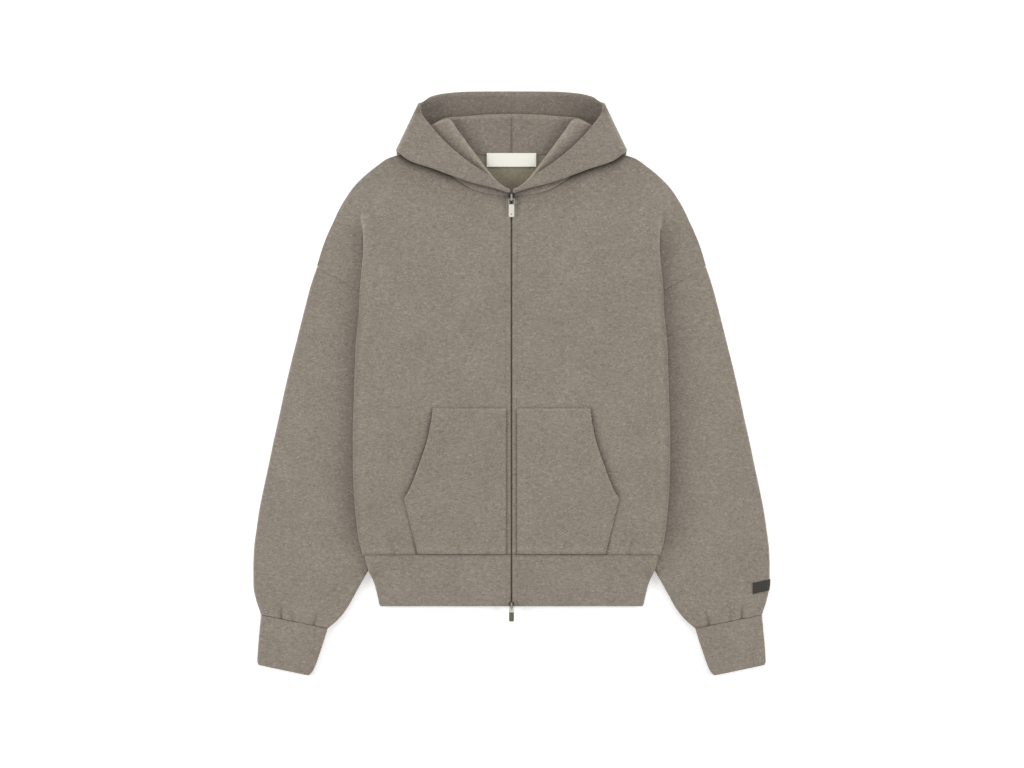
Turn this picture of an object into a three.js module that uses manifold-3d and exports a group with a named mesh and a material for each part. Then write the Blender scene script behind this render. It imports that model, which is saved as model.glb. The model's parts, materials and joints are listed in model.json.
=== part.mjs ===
// A zip up hoodie laid on its back with its sleeves down and its hood rolled over at the neck.
// Millimetres. X is across (the wearer's left is +X), Y runs from hem to hood, Z is up from the floor.
// Plan tables hold half widths "h" from the zip and heights "y"; one table serves both sides.
import * as THREE from "three";
import Module from "manifold-3d";

const wasm = await Module();
wasm.setup();
const { Manifold, CrossSection } = wasm;

// Cloth
const CLOTH = 2.6; // brushed fleece
const HOOD_CLOTH = 3.4; // self-lined
const RIB_CLOTH = 3.0; // hem band and cuffs, doubled
const SEAM = 0.3; // left open where two pieces meet
const FLOOR = CLOTH / 2; // middle of a wall that lies on the floor
const LAYERS = 4.8; // from the middle of the back to the middle of the front
const TUBE = 4.6; // between the two walls of a flattened sleeve
const SLEEVE_LIFT = 7.6; // what the sleeve under the torso raises
const RAMP = 14.5; // width over which that is lost
const BAG_LIFT = 7.5; // what the hood's bag behind the neck raises
const BAG_RADIUS = 171;
const BAG_Y = 348; // middle of the bag's round bottom
const BAG_RAMP = 140;
const PLEAT_R = 1.6; // radius of the fold at the shoulder pleat
const OFFSET = [-0.55, -0.65]; // moves the middle of the outline to the origin

// Torso
const ZIP_GAP = 1.65; // from the middle to a front edge
const HEM_SEAM = -255.8;
const HEM_END = -333.6;
// each row runs from the neck or zip, over the side fold, to the shoulder, armhole or side seam
const FRONT = [
  // inH, inY, foldH, foldY, outH, outY, turn, tuck
  [118.5, 346.5, 125.5, 348.5, 131.5, 350.3, 0, 2],
  [107.3, 329.3, 149, 339, 161.5, 344.2, 0, 2],
  [91.5, 313, 171, 330.5, 183.5, 338, 0, 2],
  [74.3, 299.7, 189.5, 318.5, 203, 325, 0, 2],
  [53.3, 288.6, 203, 305, 219.5, 312, 0, 2],
  [25.5, 282.6, 212.5, 290, 236.5, 295.4, 0, 2],
  [ZIP_GAP, 281.1, 217.5, 275.3, 250, 276.4, 0, 2],
  [ZIP_GAP, 266, 219.3, 260.3, 259.5, 260.1, 0.12, 2],
  [ZIP_GAP, 249, 219.6, 243.8, 267.2, 243.6, 0.3, 2],
  [ZIP_GAP, 231, 219.8, 226.5, 275.3, 226.4, 0.6, 3],
  [ZIP_GAP, 212, 220.2, 207.8, 282.7, 207.6, 0.85, 6],
  [ZIP_GAP, 193, 221.6, 189, 288, 191.1, 1, 15],
  [ZIP_GAP, 177, 223.2, 173.3, 291.9, 176.7, 1, 27],
  [ZIP_GAP, 163, 224.7, 158.3, 269, 163, 1, 37],
  [ZIP_GAP, 149, 226, 144, 243, 148, 1, 46],
  [ZIP_GAP, 136, 227, 131.3, 218.3, 133.8, 1, 56],
  [ZIP_GAP, 123, 227.4, 118.5, 192.8, 119, 1, 63],
  [ZIP_GAP, 110, 228, 106.8, 172.5, 107.8, 1, 60],
  [ZIP_GAP, 90, 229.8, 87, 0, 0, 0, 0],
  [ZIP_GAP, 61, 232.5, 58.5, 0, 0, 0, 0],
  [ZIP_GAP, 20, 234, 18, 0, 0, 0, 0],
  [ZIP_GAP, -26, 235.3, -27, 0, 0, 0, 0],
  [ZIP_GAP, -72, 236.7, -72, 0, 0, 0, 0],
  [ZIP_GAP, -118, 236.7, -117, 0, 0, 0, 0],
  [ZIP_GAP, -160, 235.5, -159, 0, 0, 0, 0],
  [ZIP_GAP, -198, 232.5, -196.5, 0, 0, 0, 0],
  [ZIP_GAP, -230, 228.7, -228, 0, 0, 0, 0],
  [ZIP_GAP, HEM_SEAM, 221.8, HEM_SEAM, 0, 0, 0, 0],
];
const UNDERARM_ROW = 17;
const FRONT_ACROSS = [0, 0.2, 0.38, 0.54, 0.67, 0.78, 0.89, 1];
// the back: where each row meets the side, and its height at the middle
const BACK = [
  // outH, outY, midY
  [121.5, 351.6, 341.9],
  [161.5, 344.2, 325],
  [183.5, 338, 311],
  [203, 325, 298],
  [219.5, 312, 285],
  [236.5, 295.4, 270],
  [250, 276.4, 255],
  [267.2, 243.6, 232],
  [282.7, 207.6, 205],
  [291.9, 176.7, 178],
  [256, 155.6, 158],
  [218.3, 133.8, 136],
  [192.8, 119, 121],
  [168.5, 106.5, 107],
  [147.6, 87, 87],
  [0, 58.5, 58.5],
  [0, 18, 18],
  [0, -27, -27],
  [0, -72, -72],
  [0, -117, -117],
  [0, -159, -159],
  [0, -196.5, -196.5],
  [0, -228, -228],
  [0, HEM_SEAM, HEM_SEAM],
];
const BACK_ACROSS = 18;

// Sleeves: outer edge on the floor and inner edge, partly under the torso
const SLEEVE = [
  // outH, outY, inH, inY
  [291.9, 176, 170.3, 105.8],
  [300.8, 150, 165.8, 84],
  [314.5, 98, 164.3, 48],
  [323.5, 62, 163.5, 12],
  [332.5, 26, 163.5, -24],
  [341.3, -12, 164.3, -60],
  [349, -48, 165.8, -96],
  [357, -84, 168.8, -132],
  [364.5, -120, 174.8, -165],
  [372.2, -156, 182.3, -196.5],
  [379, -190, 192, -226.5],
  [383, -218, 201.8, -252],
  [386.6, -246, 213, -276],
  [387.8, -274, 224.7, -297],
  [387.6, -302, 236.3, -318],
  [383, -326, 247.5, -337.5],
  [379, -338, 260.3, -353.3],
  [376.2, -346.2, 275.4, -366.6],
];
const CUFF = [
  // outH, outY, inH, inY
  [376.1, -346.9, 275.9, -367.2],
  [378, -364.5, 281.3, -384.8],
  [379.8, -384, 287.3, -402.8],
  [381.3, -403.5, 293.3, -420],
  [381.9, -416.3, 298.5, -431.3],
  [379.8, -421.8, 304.5, -437.7],
];
// Gathers where a sleeve or the torso meets its band: middle and end of each, depth and half width
const SLEEVE_GATHERS = [
  // h0, y0, h1, y1, depth, half
  [345.3, -334, 345.3, -352, 1.2, 6],
  [292, -345, 297, -364, 1.3, 6],
  [330, -340, 327, -356, 0.8, 6],
];
const HEM_GATHERS = [
  [182, -226, 176, -250, 1.2, 7],
  [148, -232, 142, -255, 1, 6],
  [83, -234, 75, -256, 1, 6],
  [30, -230, 36, -254, 0.8, 6],
  [208, -228, 203, -248, 1, 6],
];

// Hem band
const HEM = [
  // y, half width
  [HEM_SEAM - SEAM, 220.5],
  [-269, 217.5],
  [-281, 214],
  [-300, 206],
  [-324, 200],
  [-331, 198.6],
  [HEM_END, 196],
];

// Pocket halves
const POCKET_GAP = 0.9;
const POCKET_IN = 9.5;
const POCKET = [
  // y, outer edge, lift of the open edge
  [-36.5, 118.2, 0],
  [-52, 119.8, 0.6],
  [-69, 122.8, 1.2],
  [-85, 126.4, 1.4],
  [-101, 131.4, 1.5],
  [-120, 138, 1.5],
  [-137, 144.2, 1.4],
  [-159, 153.2, 1.1],
  [-174, 160.6, 0.4],
  [-180, 159.2, 0.1],
  [-197, 155, 0],
  [-212, 151.3, 0],
  [-230, 146.5, 0],
  [-252.4, 141, 0],
];

// Hood: the lines of one half, from the zip round the side to the middle seam
const HOOD_Z = { first: [13.6, 9.1], second: [17.3, 5.4], third: [21, 1.7] }; // front, behind
const HOOD_FRONT = 10;
const HOOD_BACK = 9;
const FOLD_PULL = 1.9;
const NECK_LINE = {
  front: [
    [1.2, 281.7], [25, 283.3], [52.8, 289.3], [73.5, 300.4], [90.8, 313.6], [106.6, 329.8],
    [117.5, 346.5],
  ],
  side: [120, 352.5],
  back: [[119, 353.2], [92, 349], [47, 344], [0.2, 342.4]],
};
const ROLL_LINE = {
  front: [
    [1.6, 290.5], [7.5, 292], [21, 301], [36, 318], [47.3, 333], [63.3, 354], [81, 378], [95.7, 395],
    [109, 391],
  ],
  side: [119.5, 385],
  back: [[109, 393.5], [96.5, 398], [63.3, 400.8], [33, 403], [0.2, 403.8]],
};
const CREASE_LINE = {
  front: [[2, 286.5], [19, 292.2], [36.8, 297], [60.3, 303], [87, 312.3], [116.5, 323.3], [150, 334.5]],
  side: [171.3, 349],
  back: [
    [171, 348], [165.2, 303.7], [148.1, 262.5], [120.9, 227.1], [85.5, 199.9], [44.3, 182.8],
    [0.2, 177],
  ],
};
const RIM_LINE = {
  front: [
    [2.2, 289.8], [7.5, 290.7], [20, 299.6], [35.5, 313], [61.5, 330.3], [85.5, 349.5], [104.4, 367.1],
    [119.9, 385.1], [135, 407],
  ],
  side: [137.5, 421],
  back: [
    [131.5, 427.3], [125.5, 430.4], [113.5, 434.2], [101.5, 436.6], [66, 439.3], [30, 439.7],
    [0.2, 439.7],
  ],
};
const SIDE_OF = {
  first: [[120, 352.5], [123.3, 383.1]],
  second: [[119.7, 383.1], [167.5, 350.5]],
  third: [[171.3, 350.5], [137.5, 421]],
};

// Zip
const TAPE_WIDTH = 12;
const TAPE = 1;
const BEAD_IN = 0.15;
const BEAD_OUT = 1.35;
const TAPE_TOP = 280;
const TAPE_ROWS = 26;

const clamp = (v, a, b) => Math.min(b, Math.max(a, v));
const mix = (a, b, t) => a + (b - a) * t;
const smooth = (t) => {
  const c = clamp(t, 0, 1);
  return c * c * (3 - 2 * c);
};

// Value of a table's column at a height, rows running from high to low Y.
function at(rows, yColumn, column, y) {
  if (y >= rows[0][yColumn]) return rows[0][column];
  for (let i = 1; i < rows.length; i++)
    if (y >= rows[i][yColumn]) {
      const t = (rows[i - 1][yColumn] - y) / (rows[i - 1][yColumn] - rows[i][yColumn]);
      return mix(rows[i - 1][column], rows[i][column], t);
    }
  return rows[rows.length - 1][column];
}

const bagShare = (h, y) =>
  smooth(1 - Math.max(0, Math.hypot(h, y - BAG_Y) - BAG_RADIUS - 3) / BAG_RAMP);
const backZ = (h, y) => FLOOR + BAG_LIFT * bagShare(h, y);
const sleeveInside = (y) => at(SLEEVE, 3, 2, y);

// Rise of a wall that lies partly on the sleeve under it.
const sleeveShare = (h, y) => smooth((h - (sleeveInside(y) - RAMP + 1)) / (RAMP - 2.5));
const underZ = (h, y) => FLOOR + SLEEVE_LIFT * sleeveShare(h, y);

// Fall from the front to the shoulder piece behind the pleat, and the fold's points on the way.
function pleat(turn, tuck, radius, segments) {
  const most = Math.PI * turn;
  const arc = Math.PI * radius;
  const points = [[0, 0]];
  let x = 0,
    z = 0;
  const walk = (length, from, to, steps) => {
    for (let i = 0; i < steps; i++) {
      const fine = 8;
      for (let k = 0; k < fine; k++) {
        const a = mix(from, to, (i + (k + 0.5) / fine) / steps);
        x += (Math.cos(a) * length) / steps / fine;
        z -= (Math.sin(a) * length) / steps / fine;
      }
      points.push([x, z]);
    }
  };
  walk(arc, 0, most, segments.turn);
  walk(tuck, most, most, segments.tuck);
  walk(arc, most, 0, segments.turn);
  return points;
}
const SEGMENTS = { turn: 3, tuck: 3 };

// How far the front at the side fold stands over its plain height, by row.
const RISE = FRONT.map(([, , foldH, foldY, , , turn, tuck], i) => {
  if (i > UNDERARM_ROW) return [foldY, SLEEVE_LIFT + TUBE - LAYERS];
  const steps = pleat(turn, tuck, PLEAT_R, SEGMENTS);
  return [foldY, TUBE - LAYERS - steps[steps.length - 1][1]];
});
const PLATEAU = FRONT.map(([, , foldH, foldY, , , turn, tuck], i) => [
  foldY,
  i > UNDERARM_ROW ? sleeveInside(foldY) - 4 : foldH - Math.max(0, tuck - 2) - 4,
]);

function frontZ(h, y) {
  const fold = at(FRONT, 3, 2, y);
  const flat = at(PLATEAU, 0, 1, y);
  const rise = at(RISE, 0, 1, y);
  const onTop = smooth((h - (flat - 80)) / 80);
  const down = y < FRONT[UNDERARM_ROW][3] ? 1 : 0;
  const sag = down * smooth((fold - h) / Math.max(20, fold - flat));
  return backZ(h, y) + LAYERS + (rise - sag) * onTop - gathers(HEM_GATHERS, h, y);
}

function gathers(list, h, y) {
  let depth = 0;
  for (const [h0, y0, h1, y1, deep, half] of list) {
    const along = clamp((y0 - y) / (y0 - y1), -0.6, 1.2);
    const off = (h - mix(h0, h1, clamp(along, 0, 1))) / half;
    depth += deep * Math.exp(-off * off * 2) * smooth((along + 0.6) / 1.2);
  }
  return depth;
}

// A closed wall of cloth about a grid of points: grid[row][column] is a Vector3, keep(row, column)
// says which cells are cloth, and a ring joins its last column to its first.
function wall(grid, { thick = CLOTH, ring = false, keep = () => true } = {}) {
  const rows = grid.length;
  const columns = grid[0].length;
  const cells = [];
  for (let r = 0; r < rows - 1; r++)
    for (let c = 0; c < (ring ? columns : columns - 1); c++) if (keep(r, c)) cells.push([r, c]);
  const normals = new Map();
  const key = (r, c) => r * columns + (c % columns);
  for (const [r, c] of cells) {
    const quad = [[r, c], [r, c + 1], [r + 1, c + 1], [r + 1, c]];
    const p = quad.map(([a, b]) => grid[a][b % columns]);
    const n = new THREE.Vector3()
      .subVectors(p[2], p[0])
      .cross(new THREE.Vector3().subVectors(p[3], p[1]))
      .normalize();
    for (const [a, b] of quad) {
      const k = key(a, b);
      if (!normals.has(k)) normals.set(k, new THREE.Vector3());
      normals.get(k).add(n);
    }
  }
  const order = new Map();
  const positions = [];
  for (const [k, n] of normals) {
    n.normalize();
    const p = grid[Math.floor(k / columns)][k % columns];
    order.set(k, positions.length / 3);
    for (const s of [0.5, -0.5]) {
      const q = p.clone().addScaledVector(n, s * thick);
      positions.push(q.x, q.y, q.z);
    }
  }
  const index = [];
  const edges = new Map();
  for (const [r, c] of cells) {
    const [a, b, d, e] = [key(r, c), key(r, c + 1), key(r + 1, c + 1), key(r + 1, c)].map((k) =>
      order.get(k),
    );
    const [p, q, u, v] = [[r, c], [r, c + 1], [r + 1, c + 1], [r + 1, c]].map(
      ([i, j]) => grid[i][j % columns],
    );
    const [i, j, k, l] = p.distanceTo(u) <= q.distanceTo(v) ? [a, b, d, e] : [b, d, e, a];
    index.push(i, j, k, i, k, l, i + 1, k + 1, j + 1, i + 1, l + 1, k + 1);
    for (const [from, to] of [[a, b], [b, d], [d, e], [e, a]])
      if (edges.has(`${to}_${from}`)) edges.delete(`${to}_${from}`);
      else edges.set(`${from}_${to}`, [from, to]);
  }
  for (const [u, v] of edges.values()) index.push(u, u + 1, v + 1, u, v + 1, v);
  const geometry = new THREE.BufferGeometry();
  geometry.setAttribute("position", new THREE.Float32BufferAttribute(positions, 3));
  geometry.setIndex(index);
  return geometry;
}

const point = (side, h, y, z) => new THREE.Vector3(side * h, y, z);

// Points in a row of the front that goes through the pleat to the armhole.
const ROW_POINTS = FRONT_ACROSS.length + SEGMENTS.turn * 2 + SEGMENTS.tuck + 3;

function frontPanel(side) {
  const grid = FRONT.map((row, i) => {
    const [inH, inY, foldH, foldY, outH, outY, turn, tuck] = row;
    const upper = i <= UNDERARM_ROW;
    const radius = upper ? PLEAT_R : TUBE / 2;
    const startH = foldH - radius;
    const points = FRONT_ACROSS.map((t) => {
      const h = mix(inH, startH, t);
      const y = mix(inY, foldY, t);
      return point(side, h, y, frontZ(Math.min(h, startH), y));
    });
    const top = points[points.length - 1].z;
    if (upper) {
      const fold = pleat(turn, tuck, radius, SEGMENTS);
      for (const [x, z] of fold.slice(1)) points.push(point(side, startH + x, foldY, top + z));
      const last = points[points.length - 1];
      const from = Math.abs(last.x);
      const sewn = i <= 11 ? backZ(outH, outY) + CLOTH + SEAM + 0.1 : backZ(outH, outY) + TUBE;
      for (const t of [0.35, 0.8, 1]) {
        const z = mix(last.z, backZ(outH, outY) + TUBE, smooth(t));
        points.push(point(side, mix(from, outH, t), mix(foldY, outY, t), t === 1 ? sewn : z));
      }
      return points;
    }
    for (let k = 1; k <= SEGMENTS.turn; k++) {
      const a = (Math.PI * k) / SEGMENTS.turn;
      points.push(
        point(side, startH + radius * Math.sin(a), foldY, top - (TUBE / 2) * (1 - Math.cos(a))),
      );
    }
    const end = sleeveInside(foldY) - RAMP - 1.5 + SEAM / 2;
    for (const h of [mix(startH, end + 14, 0.5), end + 14, end + 7.5, end + 2.4, end])
      points.push(point(side, h, foldY, underZ(h, foldY)));
    while (points.length < ROW_POINTS) points.push(points[points.length - 1].clone());
    return points;
  });
  const lastUnder = FRONT_ACROSS.length + SEGMENTS.turn + 5 - 1;
  const keep = (r, c) => r < UNDERARM_ROW || c < lastUnder;
  return wall(grid, { keep });
}

function backPanel() {
  const grid = BACK.map(([outH, outY, midY], i) => {
    const edge = outH || sleeveInside(outY) - RAMP - 1.5;
    const half = edge - (i === 0 || outH ? 0 : SEAM / 2);
    const points = [];
    for (let c = 0; c <= BACK_ACROSS; c++) {
      const t = (2 * c) / BACK_ACROSS - 1;
      const y = mix(midY, outY, t * t);
      points.push(new THREE.Vector3(t * half, y, backZ(Math.abs(t) * half, y)));
    }
    return points;
  });
  return wall(grid);
}

// A flattened tube between an outer and an inner edge; bottom and height of its walls are given.
function flatTube(rows, side, { thick, low, high, dent = () => 0, top = 7, bottom = 4 }) {
  const r = (high - low) / 2;
  const grid = rows.map(([outH, outY, inH, inY]) => {
    const length = Math.hypot(outH - inH, outY - inY);
    const shrink = (r + thick / 2) / length;
    const where = (t) => [mix(outH, inH, t), mix(outY, inY, t)];
    const points = [];
    for (let k = 0; k <= top; k++) {
      const [h, y] = where(mix(shrink, 1 - shrink, k / top));
      points.push(point(side, h, y, high - dent(h, y)));
    }
    for (const a of [0.25, 0.5, 0.75]) {
      const s = (Math.sin(a * Math.PI) * r) / length;
      const [h, y] = where(1 - shrink + s);
      points.push(point(side, h, y, low + r + r * Math.cos(a * Math.PI)));
    }
    for (let k = 0; k <= bottom; k++) {
      const [h, y] = where(mix(1 - shrink, shrink, k / bottom));
      points.push(point(side, h, y, low));
    }
    for (const a of [0.75, 0.5, 0.25]) {
      const s = (Math.sin(a * Math.PI) * r) / length;
      const [h, y] = where(shrink - s);
      points.push(point(side, h, y, low + r + r * Math.cos(a * Math.PI)));
    }
    return points;
  });
  return wall(grid, { thick, ring: true });
}

const hemLow = (h, y) => underZ(h, y) + (RIB_CLOTH - CLOTH) / 2;
const hemHigh = (h, y) => {
  const sewn = frontZ(h, HEM_SEAM) - underZ(h, HEM_SEAM);
  const open = RIB_CLOTH + 2;
  return underZ(h, y) + mix(sewn, open, smooth((HEM_SEAM - y) / 42));
};

function hemBand() {
  const grid = HEM.map(([y, full]) => {
    const edge = full - RIB_CLOTH / 2;
    const points = [];
    const zTop = hemHigh(edge, y);
    const zLow = hemLow(edge, y);
    const r = (zTop - zLow) / 2;
    const inner = edge - r;
    const front = [];
    for (const t of [0, 0.12, 0.26, 0.4, 0.54, 0.66, 0.76, 0.84, 0.92, 1]) {
      const h = mix(ZIP_GAP, inner, t);
      front.push([h, hemHigh(h, y)]);
    }
    const turn = [0.25, 0.5, 0.75].map((a) => [
      inner + r * Math.sin(a * Math.PI),
      zLow + r + r * Math.cos(a * Math.PI),
    ]);
    const under = [];
    const shares = [1, 0.965, 0.93, 0.895, 0.86, 0.8, 0.55, 0.28, 0];
    for (const t of [...shares, ...shares.slice(0, -1).map((v) => -v).reverse()])
      under.push([t * inner, hemLow(Math.abs(t) * inner, y)]);
    for (const [h, z] of front) points.push(point(1, h, y, z));
    for (const [h, z] of turn) points.push(point(1, h, y, z));
    for (const [h, z] of under) points.push(point(1, h, y, z));
    for (const [h, z] of turn.reverse()) points.push(point(-1, h, y, z));
    for (const [h, z] of front.reverse()) points.push(point(-1, h, y, z));
    return points;
  });
  return wall(grid, { thick: RIB_CLOTH });
}

// Points along a line at even shares of its length.
function spread(line, shares) {
  const lengths = [0];
  for (let i = 1; i < line.length; i++)
    lengths.push(
      lengths[i - 1] + Math.hypot(line[i][0] - line[i - 1][0], line[i][1] - line[i - 1][1]),
    );
  return shares.map((share) => {
    const want = share * lengths[lengths.length - 1];
    let i = 1;
    while (i < line.length - 1 && lengths[i] < want) i++;
    const t = (want - lengths[i - 1]) / (lengths[i] - lengths[i - 1]);
    return [mix(line[i - 1][0], line[i][0], t), mix(line[i - 1][1], line[i][1], t)];
  });
}

function hoodHalf(side) {
  const shares = (n, from, to) => Array.from({ length: n }, (_, i) => mix(from, to, i / (n - 1)));
  const lines = [NECK_LINE, ROLL_LINE, CREASE_LINE, RIM_LINE].map(({ front, side: s, back }) => ({
    front: spread([...front, s], shares(HOOD_FRONT, 0, 1)),
    back: spread([s, ...back], shares(HOOD_BACK, 0, 1)),
  }));
  const legs = ["first", "second", "third"];
  const rows = [];
  const blend = (a, b, t) => a.map(([x, y], i) => [mix(x, b[i][0], t), mix(y, b[i][1], t)]);
  const pulled = (a, b) =>
    a.map(([x, y], i) => {
      const dx = b[i][0] - x,
        dy = b[i][1] - y,
        d = Math.hypot(dx, dy);
      const s = Math.min(0.45, FOLD_PULL / d);
      return [x + dx * s, y + dy * s];
    });
  const inner = { first: [0.33, 0.67], second: [0.25, 0.5, 0.75], third: [0.2, 0.45, 0.72] };
  legs.forEach((leg, k) => {
    const from = lines[k],
      to = lines[k + 1];
    const start = k === 0 ? from : { front: pulled(from.front, to.front), back: pulled(from.back, to.back) };
    const end = k === 2 ? to : { front: pulled(to.front, from.front), back: pulled(to.back, from.back) };
    const [zf, zb] = HOOD_Z[leg];
    for (const t of [0, ...inner[leg], 1])
      rows.push({
        front: blend(start.front, end.front, t),
        back: blend(start.back, end.back, t),
        side: [0, 1].map((i) => mix(SIDE_OF[leg][0][i], SIDE_OF[leg][1][i], t)),
        zf,
        zb,
      });
    if (k < 2) {
      const next = HOOD_Z[legs[k + 1]];
      const a = SIDE_OF[leg][1],
        b = SIDE_OF[legs[k + 1]][0];
      rows.push({
        front: lines[k + 1].front,
        back: lines[k + 1].back,
        side: [(a[0] + b[0]) / 2, (a[1] + b[1]) / 2 + (k === 0 ? 1.8 : -1.8)],
        zf: (zf + next[0]) / 2,
        zb: (zb + next[1]) / 2,
      });
    }
  });
  const grid = rows.map(({ front, back, side: s, zf, zb }) => {
    const r = (zf - zb) / 2;
    const points = [];
    const toward = (from) => {
      const dx = from[0] - s[0],
        dy = from[1] - s[1],
        d = Math.hypot(dx, dy);
      return [dx / d, dy / d];
    };
    const before = front[HOOD_FRONT - 3],
      after = back[1];
    const [fx, fy] = toward(before);
    const [bx, by] = toward(after);
    for (let i = 0; i < HOOD_FRONT - 2; i++) points.push(point(side, front[i][0], front[i][1], zf));
    for (const a of [0, 0.17, 0.34]) {
      const d = r * (1 - Math.sin(a * Math.PI)) + 0.01;
      points.push(point(side, s[0] + fx * d, s[1] + fy * d, zb + r + r * Math.cos(a * Math.PI)));
    }
    points.push(point(side, s[0], s[1], zb + r));
    for (const a of [0.66, 0.83, 1]) {
      const d = r * (1 - Math.sin(a * Math.PI)) + 0.01;
      points.push(point(side, s[0] + bx * d, s[1] + by * d, zb + r + r * Math.cos(a * Math.PI)));
    }
    for (let i = 1; i < HOOD_BACK; i++) points.push(point(side, back[i][0], back[i][1], zb));
    return points;
  });
  return wall(grid, { thick: HOOD_CLOTH });
}

function pocket(side) {
  const across = [0, 0.2, 0.4, 0.6, 0.8, 0.93, 1];
  const up = CLOTH + POCKET_GAP;
  const grid = POCKET.map(([y, edge, lift]) =>
    across.map((t) => {
      const h = mix(POCKET_IN, edge, t);
      return point(side, h, y, frontZ(h, y) + up + lift * smooth((t - 0.75) / 0.25));
    }),
  );
  return wall(grid);
}

// One tape with the row of teeth along its inner edge.
function zipTape(side) {
  const under = -RIB_CLOTH / 2 - 0.35;
  const shape = [
    [BEAD_IN, under - TAPE],
    [TAPE_WIDTH, under - TAPE],
    [TAPE_WIDTH, under],
    [BEAD_OUT, under],
    [BEAD_OUT, 0.6],
    [BEAD_IN, 0.6],
  ];
  const positions = [];
  const index = [];
  const n = shape.length;
  for (let i = 0; i <= TAPE_ROWS; i++) {
    const y = mix(TAPE_TOP, HEM_END + 1, i / TAPE_ROWS);
    for (const [h, z] of shape) {
      const base = y > HEM_SEAM ? frontZ(2, y) : hemHigh(2, y);
      positions.push(side * h, y, base + z);
    }
  }
  for (let i = 0; i < TAPE_ROWS; i++)
    for (let k = 0; k < n; k++) {
      const a = i * n + k,
        b = i * n + ((k + 1) % n);
      index.push(a, b, b + n, a, b + n, a + n);
    }
  const cap = THREE.ShapeUtils.triangulateShape(shape.map(([x, y]) => new THREE.Vector2(x, y)), []);
  for (const [a, b, c] of cap) {
    index.push(a, c, b);
    index.push(TAPE_ROWS * n + a, TAPE_ROWS * n + b, TAPE_ROWS * n + c);
  }
  if (side < 0)
    for (let i = 0; i < index.length; i += 3) [index[i], index[i + 1]] = [index[i + 1], index[i]];
  const geometry = new THREE.BufferGeometry();
  geometry.setAttribute("position", new THREE.Float32BufferAttribute(positions, 3));
  geometry.setIndex(index);
  return geometry;
}

// Hard pieces of the zip, as solids added and cut.
function fromSolid(solid) {
  const { numProp, triVerts, vertProperties } = solid.getMesh();
  const positions = [];
  for (let i = 0; i < vertProperties.length; i += numProp)
    positions.push(vertProperties[i], vertProperties[i + 1], vertProperties[i + 2]);
  const geometry = new THREE.BufferGeometry();
  geometry.setAttribute("position", new THREE.Float32BufferAttribute(positions, 3));
  geometry.setIndex([...triVerts]);
  return geometry;
}
const plate = (outline, z0, z1) =>
  Manifold.extrude(new CrossSection([outline]), z1 - z0).translate([0, 0, z0]);
const block = (x, y, z, at3) => Manifold.cube([x, y, z], true).translate(at3);
function roundedBox(width, length, radius, steps = 3) {
  const out = [];
  for (const [cx, cy, a0] of [
    [width / 2 - radius, length / 2 - radius, 0],
    [-width / 2 + radius, length / 2 - radius, 1],
    [-width / 2 + radius, -length / 2 + radius, 2],
    [width / 2 - radius, -length / 2 + radius, 3],
  ])
    for (let i = 0; i <= steps; i++) {
      const a = ((a0 + i / steps) * Math.PI) / 2;
      out.push([cx + radius * Math.cos(a), cy + radius * Math.sin(a)]);
    }
  return out;
}

const SLIDER = { body: 2, tunnel: [3.4, 2.6], arch: 2.6, roof: 1 };
// width and length of the body; its bridge carries the pull over its lower end
function slider(width, length) {
  const half = width / 2;
  const wings = [
    [-half, length / 2 - 1.5],
    [-half * 0.8, length / 2],
    [half * 0.8, length / 2],
    [half, length / 2 - 1.5],
    [half * 0.48, -length / 2 + 3],
    [half * 0.45, -length / 2],
    [-half * 0.45, -length / 2],
    [-half * 0.48, -length / 2 + 3],
  ].reverse();
  const body = plate(wings, 0, SLIDER.body);
  const high = SLIDER.tunnel[1] + SLIDER.roof;
  const bridge = block(SLIDER.arch, length - 0.8, high + 0.4, [0, 0, SLIDER.body + high / 2 - 0.2]);
  const tunnel = block(9, SLIDER.tunnel[0], SLIDER.tunnel[1], [
    0,
    -length / 2 + 1.4 + SLIDER.tunnel[0] / 2,
    SLIDER.body + SLIDER.tunnel[1] / 2,
  ]);
  return body.add(bridge).subtract(tunnel);
}
const hingeOf = (length) => [-length / 2 + 1.4 + SLIDER.tunnel[0] / 2, SLIDER.body + SLIDER.tunnel[1] / 2];

// A pull whose bar is at its origin and whose tab reaches length towards -Y.
function pull({ ring, ringLength, tab, length, thick, hole }) {
  const bar = 0.75;
  const loop = plate(roundedBox(ring, ringLength, 2), -thick / 2, thick / 2).translate([
    0,
    bar - ringLength / 2,
    0,
  ]);
  const inside = plate(roundedBox(ring - 3.4, ringLength - 3.1, 1.2), -thick, thick).translate([
    0,
    bar - ringLength / 2,
    0,
  ]);
  const tabLength = length - ringLength + 0.6;
  const strip = plate(roundedBox(tab, tabLength, 1.6), -thick / 2, thick / 2).translate([
    0,
    bar - ringLength + 0.6 - tabLength / 2,
    0,
  ]);
  let made = loop.subtract(inside).add(strip);
  if (hole)
    made = made.subtract(
      Manifold.cylinder(thick * 3, hole, hole, 12, true).translate([0, bar - length + 4.2, 0]),
    );
  return made;
}

const UPPER = {
  y: 278.7,
  width: 9,
  length: 10.6,
  z: 15.8,
  tilt: 5.2,
  pull: { ring: 10, ringLength: 9.8, tab: 8.4, length: 27.5, thick: 1.5, hole: 0.9 },
};
const LOWER = {
  y: -332.5,
  width: 7,
  length: 11,
  z: 7.9,
  tilt: 19,
  pull: { ring: 7.4, ringLength: 6.6, tab: 7.3, length: 23.6, thick: 1.5, hole: 0 },
};

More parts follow.
